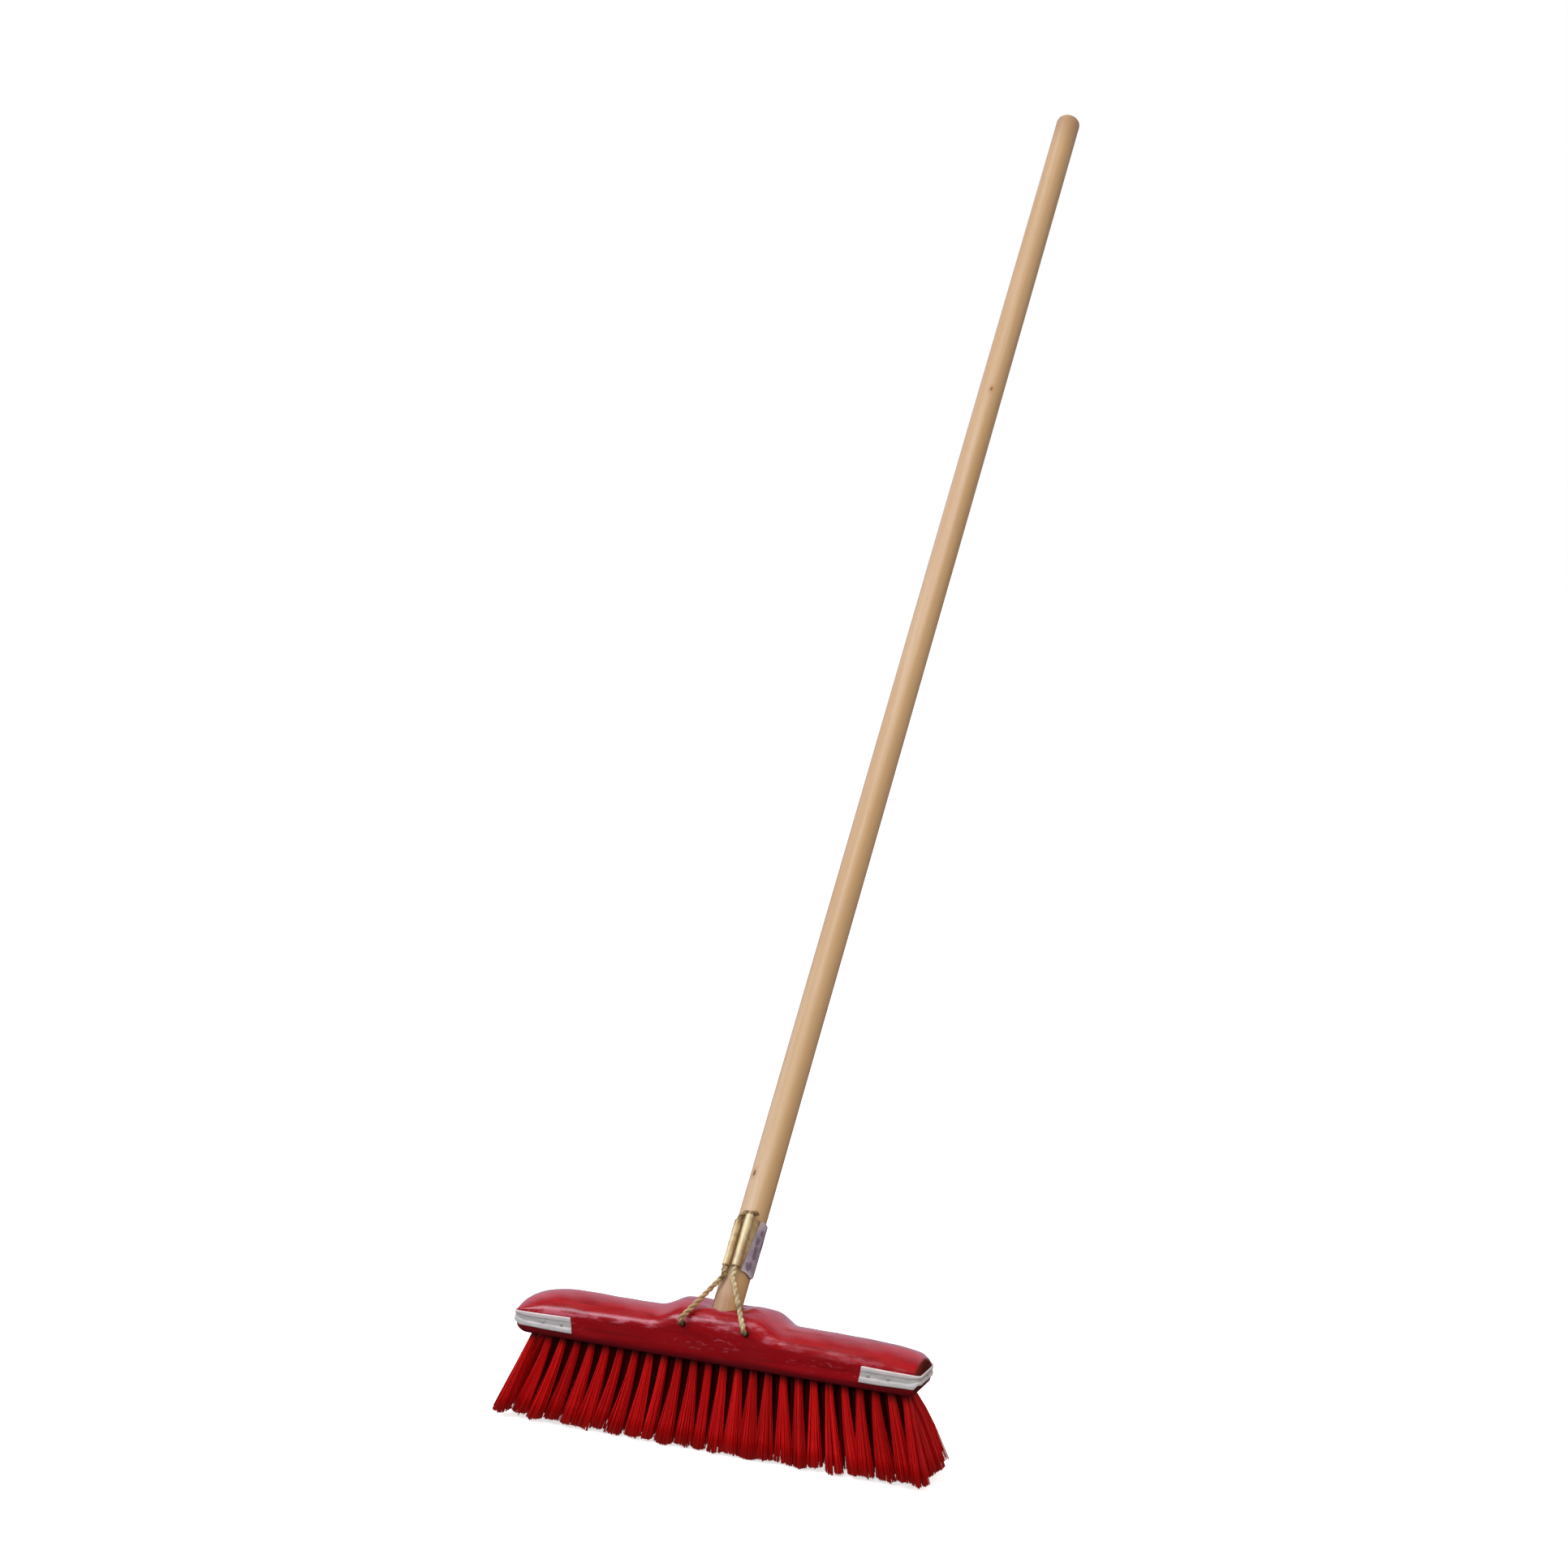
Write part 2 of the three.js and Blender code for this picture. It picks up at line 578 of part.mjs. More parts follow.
function rowBody(count, row) {
  const y = (row - MIDDLE_ROW) * ROW_PITCH;
  const pitch = row === MIDDLE_ROW ? MIDDLE_PITCH : TUFT_PITCH;
  const shift = row === MIDDLE_ROW ? 0 : ROW_SHIFT;
  const reach = ((count - 1) / 2) * pitch;
  let body = bar([
    vec(shift - reach - ROOT_BAR_EXTRA, y, ROOT_Z),
    vec(shift + reach + ROOT_BAR_EXTRA, y, ROOT_Z),
  ], ROOT_BAR_R, 8);
  for (let i = 0; i < count; i++) {
    const x = shift - reach + i * pitch;
    let tipX = x * SPLAY_X;
    let tipZ = 0; // tufts at the middle of the row touch the floor
    if (row > 0 && Math.abs(x) > END_TUFT_X) {
      tipX = x * SPLAY_END;
      tipZ = tipHeight(i, row, x) + END_TUFT_RISE * row;
    } else if (Math.abs(x) >= pitch * 0.75) {
      tipX += tipDrift(i, row);
      tipZ = tipHeight(i, row, x);
    }
    body = body.add(loft([
      tuftRing(x, y, ROOT_Z, TUFT_ROOT_R),
      tuftRing(tipX, y * SPLAY_Y, tipZ, TUFT_TIP_R),
    ]));
  }
  return body;
}

// ---------------------------------------------------------------- materials
const MATERIALS = {
  block: { color: 0xa80f18, roughness: 0.35, metalness: 0 },
  handle: { color: 0xd8b48a, roughness: 0.6, metalness: 0 },
  guard: { color: 0xc9ccce, roughness: 0.35, metalness: 0.9 },
  nail: { color: 0xa9acae, roughness: 0.4, metalness: 0.9 },
  clip: { color: 0xb79a56, roughness: 0.35, metalness: 0.9 },
  label: { color: 0xa79dad, roughness: 0.7, metalness: 0 },
  wire: { color: 0xc2a668, roughness: 0.35, metalness: 0.9 },
  bristle: { color: 0xb01414, roughness: 0.55, metalness: 0 },
};

// ---------------------------------------------------------------- assembly
const group = new THREE.Group();
group.name = 'push_broom';

function add(name, body, material) {
  const mesh = new THREE.Mesh(toGeometry(body), new THREE.MeshStandardMaterial(material));
  mesh.name = name;
  group.add(mesh);
}

add('broom_block', blockBody(), MATERIALS.block);
add('handle', handleBody(), MATERIALS.handle);
add('end_guard_left', guardBody(-1), MATERIALS.guard);
add('end_guard_right', guardBody(1), MATERIALS.guard);
for (const nail of nails) add(nail.name, nailBody(nail), MATERIALS.nail);
add('stay_clip', clipBody(), MATERIALS.clip);
add('clip_label', labelBody(), MATERIALS.label);
add('stay_wire_left', wireBody(LEFT_STAY), MATERIALS.wire);
add('stay_wire_right', wireBody(RIGHT_STAY), MATERIALS.wire);
ROW_TUFTS.forEach((count, row) => {
  add(`bristle_row_${row + 1}`, rowBody(count, row), MATERIALS.bristle);
});

export default group;
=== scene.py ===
import math

import bmesh
import bpy
import numpy as np
from mathutils import Matrix, Vector
from mathutils.geometry import delaunay_2d_cdt


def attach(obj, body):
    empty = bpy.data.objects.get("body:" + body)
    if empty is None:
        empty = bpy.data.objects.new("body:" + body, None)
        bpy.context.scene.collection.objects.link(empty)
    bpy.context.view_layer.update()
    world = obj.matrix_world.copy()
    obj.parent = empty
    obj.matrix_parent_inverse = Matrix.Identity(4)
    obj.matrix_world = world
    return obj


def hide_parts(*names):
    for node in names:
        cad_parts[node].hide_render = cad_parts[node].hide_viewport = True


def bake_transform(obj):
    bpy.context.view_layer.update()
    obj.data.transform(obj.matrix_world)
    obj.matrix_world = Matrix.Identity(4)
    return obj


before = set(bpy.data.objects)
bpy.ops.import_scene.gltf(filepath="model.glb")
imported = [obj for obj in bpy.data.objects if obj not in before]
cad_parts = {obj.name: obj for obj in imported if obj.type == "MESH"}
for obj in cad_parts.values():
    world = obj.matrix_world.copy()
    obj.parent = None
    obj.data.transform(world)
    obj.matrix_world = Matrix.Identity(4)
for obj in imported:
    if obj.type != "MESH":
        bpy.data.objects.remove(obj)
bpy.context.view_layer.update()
MM = 0.001
SIDES = (("left", -1), ("right", 1))

# ---------------------------------------------------------------- main dimensions, mm
# block
HALF_LENGTH, FRONT_Y, BACK_Y = 201.2, -25.0, 25.0
UNDERSIDE = 81.0
FRONT_CORNER_R, BACK_CORNER_R = 3.0, 16.0
# heights above the underside of the raised boss in the middle, and its extra rise half way back
BOSS_FRONT, BOSS_BACK, BOSS_CROWN = 39.0, 44.0, 10.5
# (x, height above the underside) of the front and back top edges of the wings
RIDGE = [(-201.2, 21.4), (-194, 22.7), (-190, 23.4), (-175, 24.9), (-150, 26), (-127, 26.5),
         (-94, 27.5), (-70, 28.3), (70, 28.3), (90, 27.8), (118, 26.5), (137, 25.6),
         (155, 24.3), (175, 22.9), (194, 22.3), (201.2, 21.6)]
# (x, height above the underside) of the wings half way from front to back
CROWN = [(-201.2, 23.6), (-200.6, 25.6), (-199, 27.6), (-196, 29.8), (-190, 32.6), (-185, 34.5),
         (-180, 36.2), (-173, 38.0), (-165, 39.4), (-150, 40.5), (-135, 40.6), (-110, 40.3),
         (-80, 40), (80, 39.2), (110, 39.2), (135, 38.6), (155, 37.8), (170, 36.9), (183, 35.6),
         (190, 34.5), (195, 33.3), (198.5, 31.8), (200.2, 30.0), (201.2, 27.6)]
WIRE_HOLE_X, WIRE_HOLE_Z = 31.5, UNDERSIDE + 33.0

# handle: its stations are measured along the axis from FOOT, up or down
HANDLE_R = 14.0
TILT = math.radians(37.85)
FOOT = np.array([2.0, 3.3, 127.7])
HANDLE_UP, HANDLE_DOWN = 1566.0, 27.0
TIP_R, TIP_CONE, DOME = 10.0, 20.0, 8.0
AXIS = np.array([0.0, math.sin(TILT), math.cos(TILT)])
FRONT = np.array([0.0, -math.cos(TILT), math.sin(TILT)])
SIDE = np.array([1.0, 0.0, 0.0])
# knots: (station, degrees round from the front towards the right, size)
KNOTS = [(1124.0, 22.0, 2.4), (134.0, -24.0, 2.2), (640.0, 128.0, 2.4), (1370.0, -150.0, 2.0)]

# clip round the handle: stations, and the eyes as (radius from the axis, degrees)
CLIP_FROM, CLIP_TO, CLIP_TO_LEFT = 34.0, 86.5, 80.0
EYE_LEFT, EYE_RIGHT = (18.3, -20.8), (18.9, 11.7)

# tufts: row 1 is at the front; the middle row has its own pitch and isn't shifted
ROW_PITCH, TUFT_PITCH, MIDDLE_PITCH, ROW_SHIFT = 9.0, 14.8, 15.2, 2.5
ROW_COUNTS = (26, 25, 25, 25, 24)
HOLE_R, HOLE_DEPTH, HOLE_SIDES = 3.55, 6.0, 14
# how far the tips stand apart, as factors on the places of the holes
SPLAY_X, SPLAY_END, SPLAY_Y = 1.13, 1.175, 1.9

# metal guards round both ends, heights above the underside
GUARD_FROM_X, GUARD_LOW, GUARD_HIGH, GUARD_GAP = 144, 7.0, 20.5, 0.3
GUARD_END_RISE = 4.8
NAIL_INNER_X, NAIL_OUTER_X, END_NAIL_Y = 153, 172, -4


def in_handle(station, across=0.0, out=0.0):
    return FOOT + AXIS * station + SIDE * across + FRONT * out


def on_handle(station, radius, degrees):
    angle = math.radians(degrees)
    return in_handle(station, radius * math.sin(angle), radius * math.cos(angle))


def smooth(start, end, x):
    t = np.clip((np.asarray(x, float) - start) / (end - start), 0, 1)
    return t * t * (3 - 2 * t)


# Tables have corners, so they are read through a short running mean.
def soft_table(rows, x, width=5.0):
    xs, heights = zip(*rows)
    x = np.asarray(x, float)
    reach = np.minimum(width, HALF_LENGTH - np.abs(x))
    return sum(np.interp(x + k * reach, xs, heights) for k in (-1, -0.5, 0, 0.5, 1)) / 5


# ---------------------------------------------------------------- mesh helpers
def add_attributes(mesh, attributes):
    for name, values in attributes.items():
        values = np.asarray(values, np.float32)
        kind, field = ("FLOAT", "value") if values.ndim == 1 else ("FLOAT_VECTOR", "vector")
        layer = mesh.attributes.new(name, kind, "POINT")
        layer.data.foreach_set(field, values.ravel())


def mesh_object(name, verts, faces, material, attributes=None):
    mesh = bpy.data.meshes.new(name)
    mesh.from_pydata([tuple(v) for v in np.asarray(verts, float) * MM], [],
                     [tuple(int(i) for i in f) for f in faces])
    mesh.validate()
    mesh.update()
    mesh.polygons.foreach_set("use_smooth", np.ones(len(mesh.polygons), bool))
    add_attributes(mesh, attributes or {})
    obj = bpy.data.objects.new(name, mesh)
    bpy.context.scene.collection.objects.link(obj)
    mesh.materials.append(material)
    return obj


def sharp_by_angle(obj, degrees):
    bpy.context.view_layer.objects.active = obj
    for other in bpy.context.selected_objects:
        other.select_set(False)
    obj.select_set(True)
    bpy.ops.object.shade_smooth_by_angle(angle=math.radians(degrees))
    obj.select_set(False)


# A closed mesh with its faces turned outward.
def solid(name, verts, faces, material, attributes=None, sharp=None):
    obj = mesh_object(name, verts, faces, material, attributes)
    bm = bmesh.new()
    bm.from_mesh(obj.data)
    bmesh.ops.recalc_face_normals(bm, faces=bm.faces)
    bm.to_mesh(obj.data)
    bm.free()
    obj.data.update()
    if sharp is not None:
        sharp_by_angle(obj, sharp)
    return obj


# Side walls between rings of equal size, and a cap at each end unless they are left open.
def ring_faces(rings, sides, start=0, caps=True):
    faces = []
    for i in range(rings - 1):
        low = start + i * sides
        high = low + sides
        for k in range(sides):
            after = (k + 1) % sides
            faces.append((low + k, low + after, high + after, high + k))
    if caps:
        faces.append(tuple(start + k for k in reversed(range(sides))))
        faces.append(tuple(start + (rings - 1) * sides + k for k in range(sides)))
    return faces


def circle(centre, across, upright, radius, sides, spin=0.0):
    angles = [spin + 2 * math.pi * k / sides for k in range(sides)]
    return [centre + across * (radius * math.cos(a)) + upright * (radius * math.sin(a))
            for a in angles]


def run_length(points):
    return np.concatenate([[0], np.cumsum(np.linalg.norm(np.diff(points, axis=0), axis=1))])


# Two cross directions at each point of a polyline, carried along it without twist.
def cross_directions(points):
    tangent = np.gradient(points, axis=0)
    tangent /= np.linalg.norm(tangent, axis=1)[:, None]
    across = np.zeros_like(points)
    first = np.cross(tangent[0], [0.3, 1.0, 0.2])
    across[0] = first / np.linalg.norm(first)
    for i in range(1, len(points)):
        carried = across[i - 1] - tangent[i] * np.dot(across[i - 1], tangent[i])
        across[i] = carried / np.linalg.norm(carried)
    return across, np.cross(tangent, across)


def tube(points, radii, sides, start=0):
    points = np.asarray(points, float)
    verts = []
    for centre, across, upright, radius in zip(points, *cross_directions(points), radii):
        verts += circle(centre, across, upright, radius, sides)
    return verts, ring_faces(len(points), sides, start)


# Centripetal Catmull-Rom curve through the points, resampled to even steps.
def catmull(points, count):
    p = np.asarray(points, float)
    p = np.vstack([2 * p[0] - p[1], p, 2 * p[-1] - p[-2]])
    curve = []
    for i in range(1, len(p) - 2):
        knots = [0.0]
        for k in (-1, 0, 1):
            knots.append(knots[-1] + np.linalg.norm(p[i + k + 1] - p[i + k]) ** 0.5)

        def blend(first, last, a, b, t):
            span = knots[last] - knots[first]
            return (knots[last] - t) / span * a + (t - knots[first]) / span * b

        for t in np.linspace(knots[1], knots[2], 24, endpoint=False):
            near = blend(0, 1, p[i - 1], p[i], t)
            mid = blend(1, 2, p[i], p[i + 1], t)
            far = blend(2, 3, p[i + 1], p[i + 2], t)
            curve.append(blend(1, 2, blend(0, 2, near, mid, t), blend(1, 3, mid, far, t), t))
    curve.append(p[-2])
    curve = np.array(curve)
    run = run_length(curve)
    even = np.linspace(0, run[-1], count)
    return np.stack([np.interp(even, run, curve[:, k]) for k in range(3)], axis=1)


# The cutter takes any material: it is never seen.
def make_cutter(points, radii, sides):
    return solid("cutter", *tube(points, radii, sides), bpy.data.materials[0])


def cut(obj, cutter):
    boolean = obj.modifiers.new("cut", "BOOLEAN")
    boolean.operation = "DIFFERENCE"
    boolean.solver = "EXACT"
    boolean.object = cutter
    depsgraph = bpy.context.evaluated_depsgraph_get()
    mesh = bpy.data.meshes.new_from_object(obj.evaluated_get(depsgraph))
    obj.modifiers.clear()
    old = obj.data
    obj.data = mesh
    bpy.data.meshes.remove(old)
    bpy.data.objects.remove(cutter)
    # faces that the cut left with many corners are split here
    bm = bmesh.new()
    bm.from_mesh(obj.data)
    bmesh.ops.triangulate(bm, faces=[f for f in bm.faces if len(f.verts) > 4])
    bm.to_mesh(obj.data)
    bm.free()


# ---------------------------------------------------------------- shader helper
def linear(colour):
    return tuple(((c / 255 + 0.055) / 1.055) ** 2.4 if c > 10.3 else c / 255 / 12.92
                 for c in colour)


# Node tree of a material or world. Colours given as tuples are 8-bit sRGB.
class Shader:
    def __init__(self, owner, output="OutputMaterial"):
        owner.use_nodes = True
        self.owner = owner
        self.tree = owner.node_tree
        self.tree.nodes.clear()
        self.output = self.new(output)

    def new(self, kind, **settings):
        node = self.tree.nodes.new("ShaderNode" + kind)
        for name, value in settings.items():
            setattr(node, name, value)
        return node

    def put(self, socket, value):
        if isinstance(value, bpy.types.NodeSocket):
            self.tree.links.new(value, socket)
        elif isinstance(value, tuple) and socket.type == "RGBA":
            socket.default_value = (*linear(value), 1.0)
        else:
            socket.default_value = value

    def surface(self, socket):
        self.put(self.output.inputs["Surface"], socket)
        return self.owner

    def math(self, operation, first, second=0.0, clamp=False):
        node = self.new("Math", operation=operation, use_clamp=clamp)
        for socket, value in zip(node.inputs, (first, second, 0.0)):
            self.put(socket, value)
        return node.outputs[0]

    def add(self, first, second, clamp=False):
        return self.math("ADD", first, second, clamp)

    def sub(self, first, second):
        return self.math("SUBTRACT", first, second)

    def mul(self, first, second):
        return self.math("MULTIPLY", first, second)

    def max(self, first, second):
        return self.math("MAXIMUM", first, second)

    def vector_math(self, operation, first, second=None, output="Vector"):
        node = self.new("VectorMath", operation=operation)
        self.put(node.inputs[0], first)
        if second is not None:
            self.put(node.inputs["Scale" if operation == "SCALE" else 1], second)
        return node.outputs[output]

    # smooth step from one end of `to` to the other, as value goes from start to end
    def ramp(self, value, start, end, to=(0.0, 1.0)):
        node = self.new("MapRange", interpolation_type="SMOOTHSTEP")
        for i, setting in enumerate((value, start, end, *to)):
            self.put(node.inputs[i], setting)
        return node.outputs[0]

    def mix(self, factor, first, second):
        node = self.new("Mix", data_type="RGBA", blend_type="MIX")
        self.put(node.inputs[0], factor)
        self.put(node.inputs[6], first)
        self.put(node.inputs[7], second)
        return node.outputs[2]

    # lays a colour over the base where the mask is high
    def tint(self, base, colour, mask, amount):
        return self.mix(self.mul(mask, amount), base, colour)

    def coords(self, output="Object"):
        return self.new("TexCoord").outputs[output]

    def mapped(self, vector, scale, rotation=(0, 0, 0), location=(0, 0, 0)):
        node = self.new("Mapping")
        self.put(node.inputs[0], vector)
        node.inputs["Location"].default_value = location
        node.inputs["Rotation"].default_value = rotation
        node.inputs["Scale"].default_value = scale
        return node.outputs[0]

    # a tuple as scale sets one scale for each axis
    def noise(self, vector, scale, detail, rough, distortion=0.0, location=(0, 0, 0),
              output="Fac"):
        if isinstance(scale, tuple):
            vector = self.mapped(vector, scale, location=location)
            scale = 1.0
        node = self.new("TexNoise")
        self.put(node.inputs["Vector"], vector)
        node.inputs["Scale"].default_value = scale
        node.inputs["Detail"].default_value = detail
        node.inputs["Roughness"].default_value = rough
        node.inputs["Distortion"].default_value = distortion
        return node.outputs[output]

    def attr(self, name, output="Fac"):
        return self.new("Attribute", attribute_name=name).outputs[output]

    def bump(self, height, strength, distance):
        node = self.new("Bump")
        node.inputs["Strength"].default_value = strength
        node.inputs["Distance"].default_value = distance
        self.put(node.inputs["Height"], height)
        return node.outputs[0]

    def split(self, vector):
        node = self.new("SeparateXYZ")
        self.put(node.inputs[0], vector)
        return node.outputs

    def principled(self, **values):
        node = self.new("BsdfPrincipled")
        for name, value in values.items():
            self.put(node.inputs[name.replace("_", " ")], value)
        return self.surface(node.outputs[0])


def new_shader(name):
    return Shader(bpy.data.materials.new(name))


# ---------------------------------------------------------------- materials, lengths in metres
def lacquer_material():
    sh = new_shader("red_lacquer")
    place = sh.coords()
    x, y, _ = sh.split(place)
    ridge = sh.attr("ridge")
    # broad uneven depth of the paint, drawn out along the grain of the wood beneath
    broad = sh.noise(place, (5, 30, 30), detail=3, rough=0.55)
    grain = sh.noise(place, (14, 240, 240), detail=5, rough=0.62, distortion=0.4)
    fine = sh.noise(place, (60, 900, 900), detail=3, rough=0.6)
    base = sh.mix(sh.ramp(broad, 0.3, 0.7), (146, 2, 11), (174, 6, 20))
    base = sh.mix(sh.ramp(grain, 0.45, 0.72), base, (134, 4, 14))
    # thin, worn paint over the front top edge, rubbed to a pinkish bloom, which also serves as a
    # painted pinkish highlight along that edge
    patch = sh.noise(place, (34, 120, 120), detail=4, rough=0.65)
    ridge_wear_and_sheen = sh.mul(sh.ramp(ridge, 0.35, 0.95), sh.ramp(patch, 0.46, 0.62))
    # small scuffs, in some zones of the front face
    specks = sh.noise(place, (150, 420, 420), detail=3, rough=0.55, location=(3.1, 0.2, 1.7))
    zone = sh.noise(place, (16, 40, 60), detail=2, rough=0.5, location=(0.3, 1.2, 2.7))
    scuff = sh.mul(sh.ramp(specks, 0.56, 0.74), sh.ramp(zone, 0.46, 0.66))
    scuff = sh.mul(scuff, sh.attr("face"))
    # the edge is rubbed less towards the right end, where the painted highlight also fades
    ridge_wear_and_sheen = sh.mul(ridge_wear_and_sheen, sh.ramp(x, 0.10, 0.03, to=(0.35, 1.0)))
    # worn paint and scuffs, together with the painted highlight on the ridge
    wear_and_sheen = sh.max(sh.mul(ridge_wear_and_sheen, 0.5), sh.mul(scuff, 0.30))
    base = sh.mix(wear_and_sheen, base, (226, 128, 150))
    # the faint glue line across the right wing
    seam_x = sh.add(x, sh.mul(y, 0.03))
    seam = sh.sub(1.0, sh.ramp(sh.math("ABSOLUTE", sh.sub(seam_x, 0.112)), 0.0, 0.0007))
    base = sh.tint(base, (88, 4, 12), seam, amount=0.35)
    # painted shade: the lower part of the front face is darker
    base = sh.mix(sh.mul(sh.attr("low"), 0.85), base, (62, 0, 6))
    # the right end is dull and uncoated, and painted nearly black as shade
    end = sh.sub(sh.sub(x, sh.mul(grain, 0.002)), sh.mul(y, 0.12))
    end = sh.ramp(end, 0.1962, 0.2002)
    base = sh.tint(base, (70, 28, 18), end, amount=0.92)
    rough = sh.noise(place, (20, 60, 60), detail=4, rough=0.6)
    rough = sh.ramp(rough, 0.3, 0.75, to=(0.16, 0.34))
    rough = sh.add(rough, sh.mul(wear_and_sheen, 0.35), clamp=True)
    rough = sh.max(rough, sh.mul(end, 0.8))
    height = sh.add(sh.mul(grain, 0.7), sh.mul(fine, 0.3))
    height = sh.add(height, sh.mul(patch, sh.mul(ridge, 1.3)))
    height = sh.sub(height, sh.mul(seam, 0.6))
    coat = sh.noise(place, (24, 80, 80), detail=2, rough=0.45)
    return sh.principled(
        Base_Color=base, Roughness=rough, IOR=1.5,
        Specular_IOR_Level=sh.ramp(end, 0.0, 1.0, to=(0.22, 0.05)),
        Normal=sh.bump(height, strength=0.22, distance=0.0006),
        Coat_Weight=sh.sub(1.0, end),
        Coat_Roughness=sh.ramp(patch, 0.3, 0.7, to=(0.18, 0.32)),
        Coat_Normal=sh.bump(coat, strength=0.13, distance=0.0006))


def wood_material():
    sh = new_shader("handle_wood")
    # the wood's own frame: across, out to the front, and along the handle
    wood = sh.attr("wood", "Vector")
    # growth bands, streaks, fibres and pores, all drawn out along the handle
    ring = sh.noise(sh.mapped(wood, (1, 1, 1)), (26, 26, 0.9), detail=2, rough=0.5,
                    distortion=0.6)
    bands = sh.math("FRACT", sh.mul(ring, 7.0))
    band = sh.mul(sh.ramp(bands, 0.0, 0.6), sh.ramp(bands, 1.0, 0.85))
    streak = sh.noise(wood, (95, 95, 3.0), detail=4, rough=0.6)
    fibre = sh.noise(wood, (1500, 1500, 26), detail=3, rough=0.6)
    pores = sh.noise(wood, (1100, 1100, 60), detail=2, rough=0.5, location=(1.3, 5.2, 0.4))
    tone = sh.noise(wood, (30, 30, 1.6), detail=3, rough=0.55, location=(7, 3, 1))
    colour = sh.mix(sh.ramp(tone, 0.32, 0.68), (215, 191, 164), (206, 178, 144))
    colour = sh.tint(colour, (200, 164, 118), sh.ramp(streak, 0.42, 0.75), amount=0.5)
    colour = sh.tint(colour, (232, 200, 178), sh.ramp(streak, 0.55, 0.25), amount=0.4)
    colour = sh.tint(colour, (190, 140, 92), band, amount=0.22)
    colour = sh.tint(colour, (176, 128, 86), sh.ramp(fibre, 0.55, 0.8), amount=0.30)
    colour = sh.tint(colour, (150, 104, 66), sh.ramp(pores, 0.66, 0.74), amount=0.35)
    height = sh.add(sh.mul(fibre, 0.5), sh.mul(streak, 0.3))
    # knots: a dark core in a soft halo, both a little irregular
    for station, degrees, size in KNOTS:
        angle = math.radians(degrees)
        centre = (math.sin(angle) * HANDLE_R * MM, math.cos(angle) * HANDLE_R * MM, station * MM)
        shifted = sh.mapped(sh.vector_math("SUBTRACT", wood, centre), (1, 1, 0.55))
        wobble = sh.noise(wood, 300, detail=2, rough=0.5, output="Color")
        wobble = sh.vector_math("SCALE", wobble, 0.0016)
        shifted = sh.vector_math("ADD", shifted, wobble)
        distance = sh.vector_math("LENGTH", shifted, output="Value")
        halo = sh.ramp(distance, size * 2.6 * MM, size * 0.9 * MM)
        core = sh.ramp(distance, size * 1.0 * MM, size * 0.45 * MM)
        colour = sh.tint(colour, (186, 134, 84), halo, amount=0.35)
        colour = sh.tint(colour, (118, 78, 52), core, amount=0.85)
        height = sh.sub(height, sh.mul(core, 0.6))
    # darker towards the foot, mottled close to it
    station = sh.split(wood)[2]
    foot_darkening = sh.mul(sh.ramp(station, 0.012, 0.0), sh.ramp(streak, 0.3, 0.6))
    colour = sh.tint(colour, (150, 92, 70), foot_darkening, amount=0.5)
    colour = sh.tint(colour, (176, 132, 98), sh.ramp(station, 0.060, 0.012), amount=0.45)
    # painted shade: golden brown along the right side of the handle; greyer brown on the dome
    right_side_shade = sh.mul(sh.ramp(sh.split(wood)[0], 0.0030, 0.0085),
                    sh.ramp(tone, 0.25, 0.7, to=(0.75, 0.5)))
    colour = sh.mix(right_side_shade, colour, (190, 150, 96))
    colour = sh.tint(colour, (166, 126, 98), sh.ramp(station, 1.50, 1.562), amount=0.5)
    return sh.principled(
        Base_Color=colour, Roughness=sh.ramp(streak, 0.3, 0.8, to=(0.44, 0.62)), IOR=1.45,
        Specular_IOR_Level=0.4, Normal=sh.bump(height, strength=0.35, distance=0.0005))


def guard_material():
    sh = new_shader("guard_steel")
    place = sh.coords()
    spangle = sh.new("TexVoronoi", feature="F1")
    sh.put(spangle.inputs["Vector"], sh.mapped(place, (150, 150, 150)))
    spangle.inputs["Scale"].default_value = 1.0
    cell = sh.split(spangle.outputs["Color"])[0]
    cloud = sh.noise(place, (70, 70, 220), detail=4, rough=0.6)
    lines = sh.noise(place, (60, 60, 2600), detail=2, rough=0.5)
    groove, strip_height = sh.attr("groove"), sh.attr("height")
    colour = sh.mix(sh.ramp(cloud, 0.3, 0.7), (214, 212, 212), (240, 236, 236))
    # painted highlight: a paler, pinkish upper bead; spangled zinc, a darker groove and fine
    # level scratches
    colour = sh.tint(colour, (240, 220, 220), sh.ramp(strip_height, 0.70, 0.85), amount=0.5)
    colour = sh.tint(colour, (190, 194, 200), cell, amount=0.15)
    # darker in the groove, unevenly
    groove_dark = sh.noise(place, (40, 40, 160), detail=4, rough=0.6)
    groove_dark = sh.mul(groove, sh.ramp(groove_dark, 0.25, 0.7, to=(0.5, 1.0)))
    colour = sh.tint(colour, (140, 138, 136), groove_dark, amount=0.34)
    colour = sh.tint(colour, (150, 154, 158), sh.ramp(lines, 0.62, 0.72), amount=0.2)
    height = sh.add(sh.mul(cloud, 0.5), sh.mul(lines, 0.25))
    return sh.principled(
        Base_Color=colour, Metallic=0.12, Roughness=sh.ramp(cloud, 0.3, 0.8, to=(0.36, 0.52)),
        Normal=sh.bump(height, strength=0.2, distance=0.0004))


def nail_material():
    sh = new_shader("nail_steel")
    place = sh.coords()
    fine = sh.noise(place, 900, detail=4, rough=0.6)
    colour = sh.mix(sh.ramp(fine, 0.3, 0.7), (176, 174, 170), (206, 204, 200))
    brown = sh.ramp(sh.noise(place, 400, detail=3, rough=0.5), 0.58, 0.7)
    colour = sh.tint(colour, (130, 100, 80), brown, amount=0.6)
    return sh.principled(
        Base_Color=colour, Metallic=0.25, Roughness=sh.ramp(fine, 0.2, 0.8, to=(0.35, 0.6)),
        Normal=sh.bump(fine, strength=0.3, distance=0.0003))


